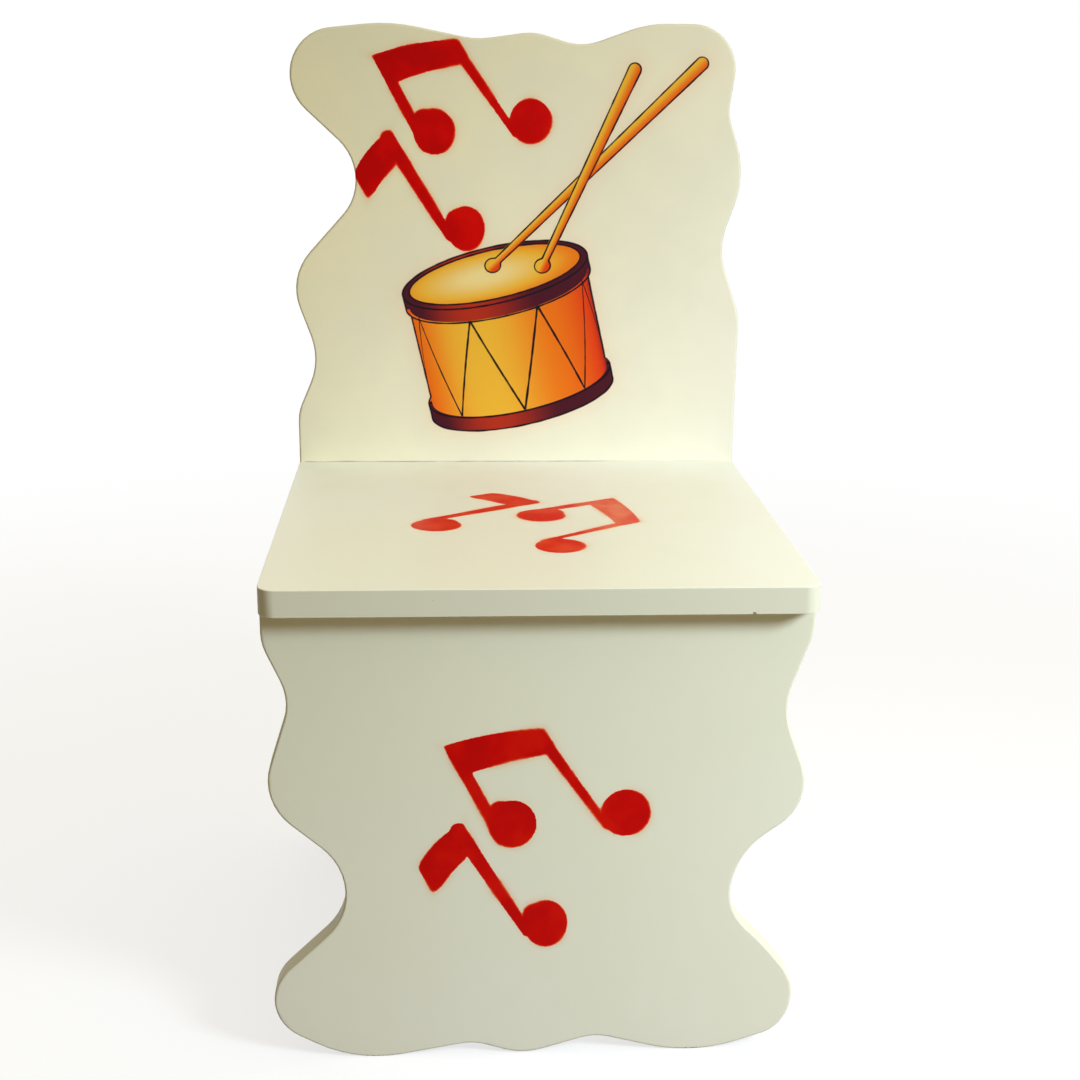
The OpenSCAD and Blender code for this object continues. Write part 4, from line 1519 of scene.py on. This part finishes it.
def head_object():
    """The head and shoulder of a screw, with its hexagon socket, pointing along Z."""
    turns = [2 * math.pi * point / RING_POINTS for point in range(RING_POINTS)]
    hexagon = [SOCKET_FLATS / 2 / math.cos((turn + math.pi / 6) % (math.pi / 3) - math.pi / 6)
               for turn in turns]
    mouth = [radius + SOCKET_MOUTH for radius in hexagon]
    rings = [(hexagon, SOCKET_DEPTH), (hexagon, SOCKET_MOUTH), (mouth, 0.0)]
    for radius, depth in [*HEAD_RINGS, (SCREW_CORE / 2, SHANK_START)]:
        rings.append(([radius] * RING_POINTS, depth))
    shell = bmesh.new()
    rows = [[shell.verts.new((radius * math.cos(turn) * MM, radius * math.sin(turn) * MM,
                              depth * MM)) for turn, radius in zip(turns, radii)]
            for radii, depth in rings]
    shell.faces.new(rows[0])
    for upper, lower in zip(rows, rows[1:]):
        for here in range(RING_POINTS):
            after = (here + 1) % RING_POINTS
            shell.faces.new((upper[here], upper[after], lower[after], lower[here]))
    shell.faces.new(reversed(rows[-1]))
    bmesh.ops.recalc_face_normals(shell, faces=shell.faces)
    mesh = bpy.data.meshes.new("screw_head_work")
    shell.to_mesh(mesh)
    shell.free()
    return new_object("screw_head_work", mesh)


class CHAIR_OT_screws(bpy.types.Operator):
    """Makes the threaded screws that hold the back board"""

    bl_idname = "music_chair.screws"
    bl_label = "Screws"

    def execute(self, context):
        fixings = context.scene.chair_fixings
        material = zinc_material(context.scene, "zinc_plate")
        head = head_object()
        for node, (count, axis) in SCREW_ROWS.items():
            low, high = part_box(node)
            mesh = run_tree("Furniture Screws", node,
                            row_places(node, count, axis, {REARWARD: high.y}),
                            {"Head": head, "Core": SCREW_CORE * MM,
                             "Shank Start": SHANK_START * MM, "Length": high.y - low.y,
                             "Pitch": fixings.pitch, "Thread": fixings.thread,
                             "Axis": FORWARD, "Material": material})
            mesh.set_sharp_from_angle(angle=SCREW_SHARP_ANGLE)
            link_piece(node + "_finish", mesh, "screw_steel", node)
        bpy.data.objects.remove(head)
        return {"FINISHED"}


CAP_NODES = ["seat_screw_caps", "left_rail_screw_caps", "right_rail_screw_caps",
             "stretcher_screw_caps"]


class CHAIR_OT_caps(bpy.types.Operator):
    """Finishes the plastic caps over the screws"""

    bl_idname = "music_chair.caps"
    bl_label = "Caps"

    def execute(self, context):
        material = plastic_material(context.scene, "moulded_cap")
        for node in CAP_NODES:
            dressed_node(node, material, "cap_plastic")
        return {"FINISHED"}


FILLER_INSET = 0.004


class CHAIR_OT_filler(bpy.types.Operator):
    """Runs an uneven bead of painted filler along the joint of seat and back"""

    bl_idname = "music_chair.filler"
    bl_label = "Filler"

    def execute(self, context):
        material = filler_material(context.scene, "painted_filler")
        ends = [(x, BACK_LOW.y, SEAT_HIGH.z)
                for x in (SEAT_LOW.x + FILLER_INSET, SEAT_HIGH.x - FILLER_INSET)]
        mesh = run_tree("Filler Bead", "seat_joint_filler", ends,
                        {"Radius": context.scene.chair_fixings.bead, "Material": material},
                        edges=[(0, 1)])
        link_piece("seat_joint_filler", mesh, "board_lacquer")
        return {"FINISHED"}


class CHAIR_PT_panel(bpy.types.Panel):
    """Sizes and colours of the chair, and a button for each group of pieces"""

    bl_idname = "CHAIR_PT_panel"
    bl_label = "Music Chair"
    bl_space_type = "VIEW_3D"
    bl_region_type = "UI"
    bl_category = "Music Chair"

    def draw(self, context):
        layout = self.layout
        for group in GROUP_NAMES:
            box = layout.box()
            settings = getattr(context.scene, group)
            for name in settings.__annotations__:
                box.prop(settings, name)
        for operator in OPERATORS:
            layout.operator(operator.bl_idname)


GROUP_NAMES = {
    "chair_colours": ChairColours,
    "chair_finish": ChairFinish,
    "paint_places": PaintPlaces,
    "chair_fixings": ChairFixings,
    "chair_stage": ChairStage,
}
OPERATORS = [CHAIR_OT_stage, CHAIR_OT_boards, CHAIR_OT_rails, CHAIR_OT_dowels, CHAIR_OT_screws,
             CHAIR_OT_caps, CHAIR_OT_filler]
CLASSES = [*GROUP_NAMES.values(), *OPERATORS, CHAIR_PT_panel]


def register():
    for each in CLASSES:
        bpy.utils.register_class(each)
    for name, group in GROUP_NAMES.items():
        setattr(bpy.types.Scene, name, PointerProperty(type=group))


def unregister():
    for name in GROUP_NAMES:
        delattr(bpy.types.Scene, name)
    for each in reversed(CLASSES):
        bpy.utils.unregister_class(each)


def main():
    register()
    bpy.ops.music_chair.stage()
    bpy.ops.music_chair.boards()
    bpy.ops.music_chair.rails()
    bpy.ops.music_chair.dowels()
    bpy.ops.music_chair.screws()
    bpy.ops.music_chair.caps()
    bpy.ops.music_chair.filler()


if __name__ == "__main__":
    main()
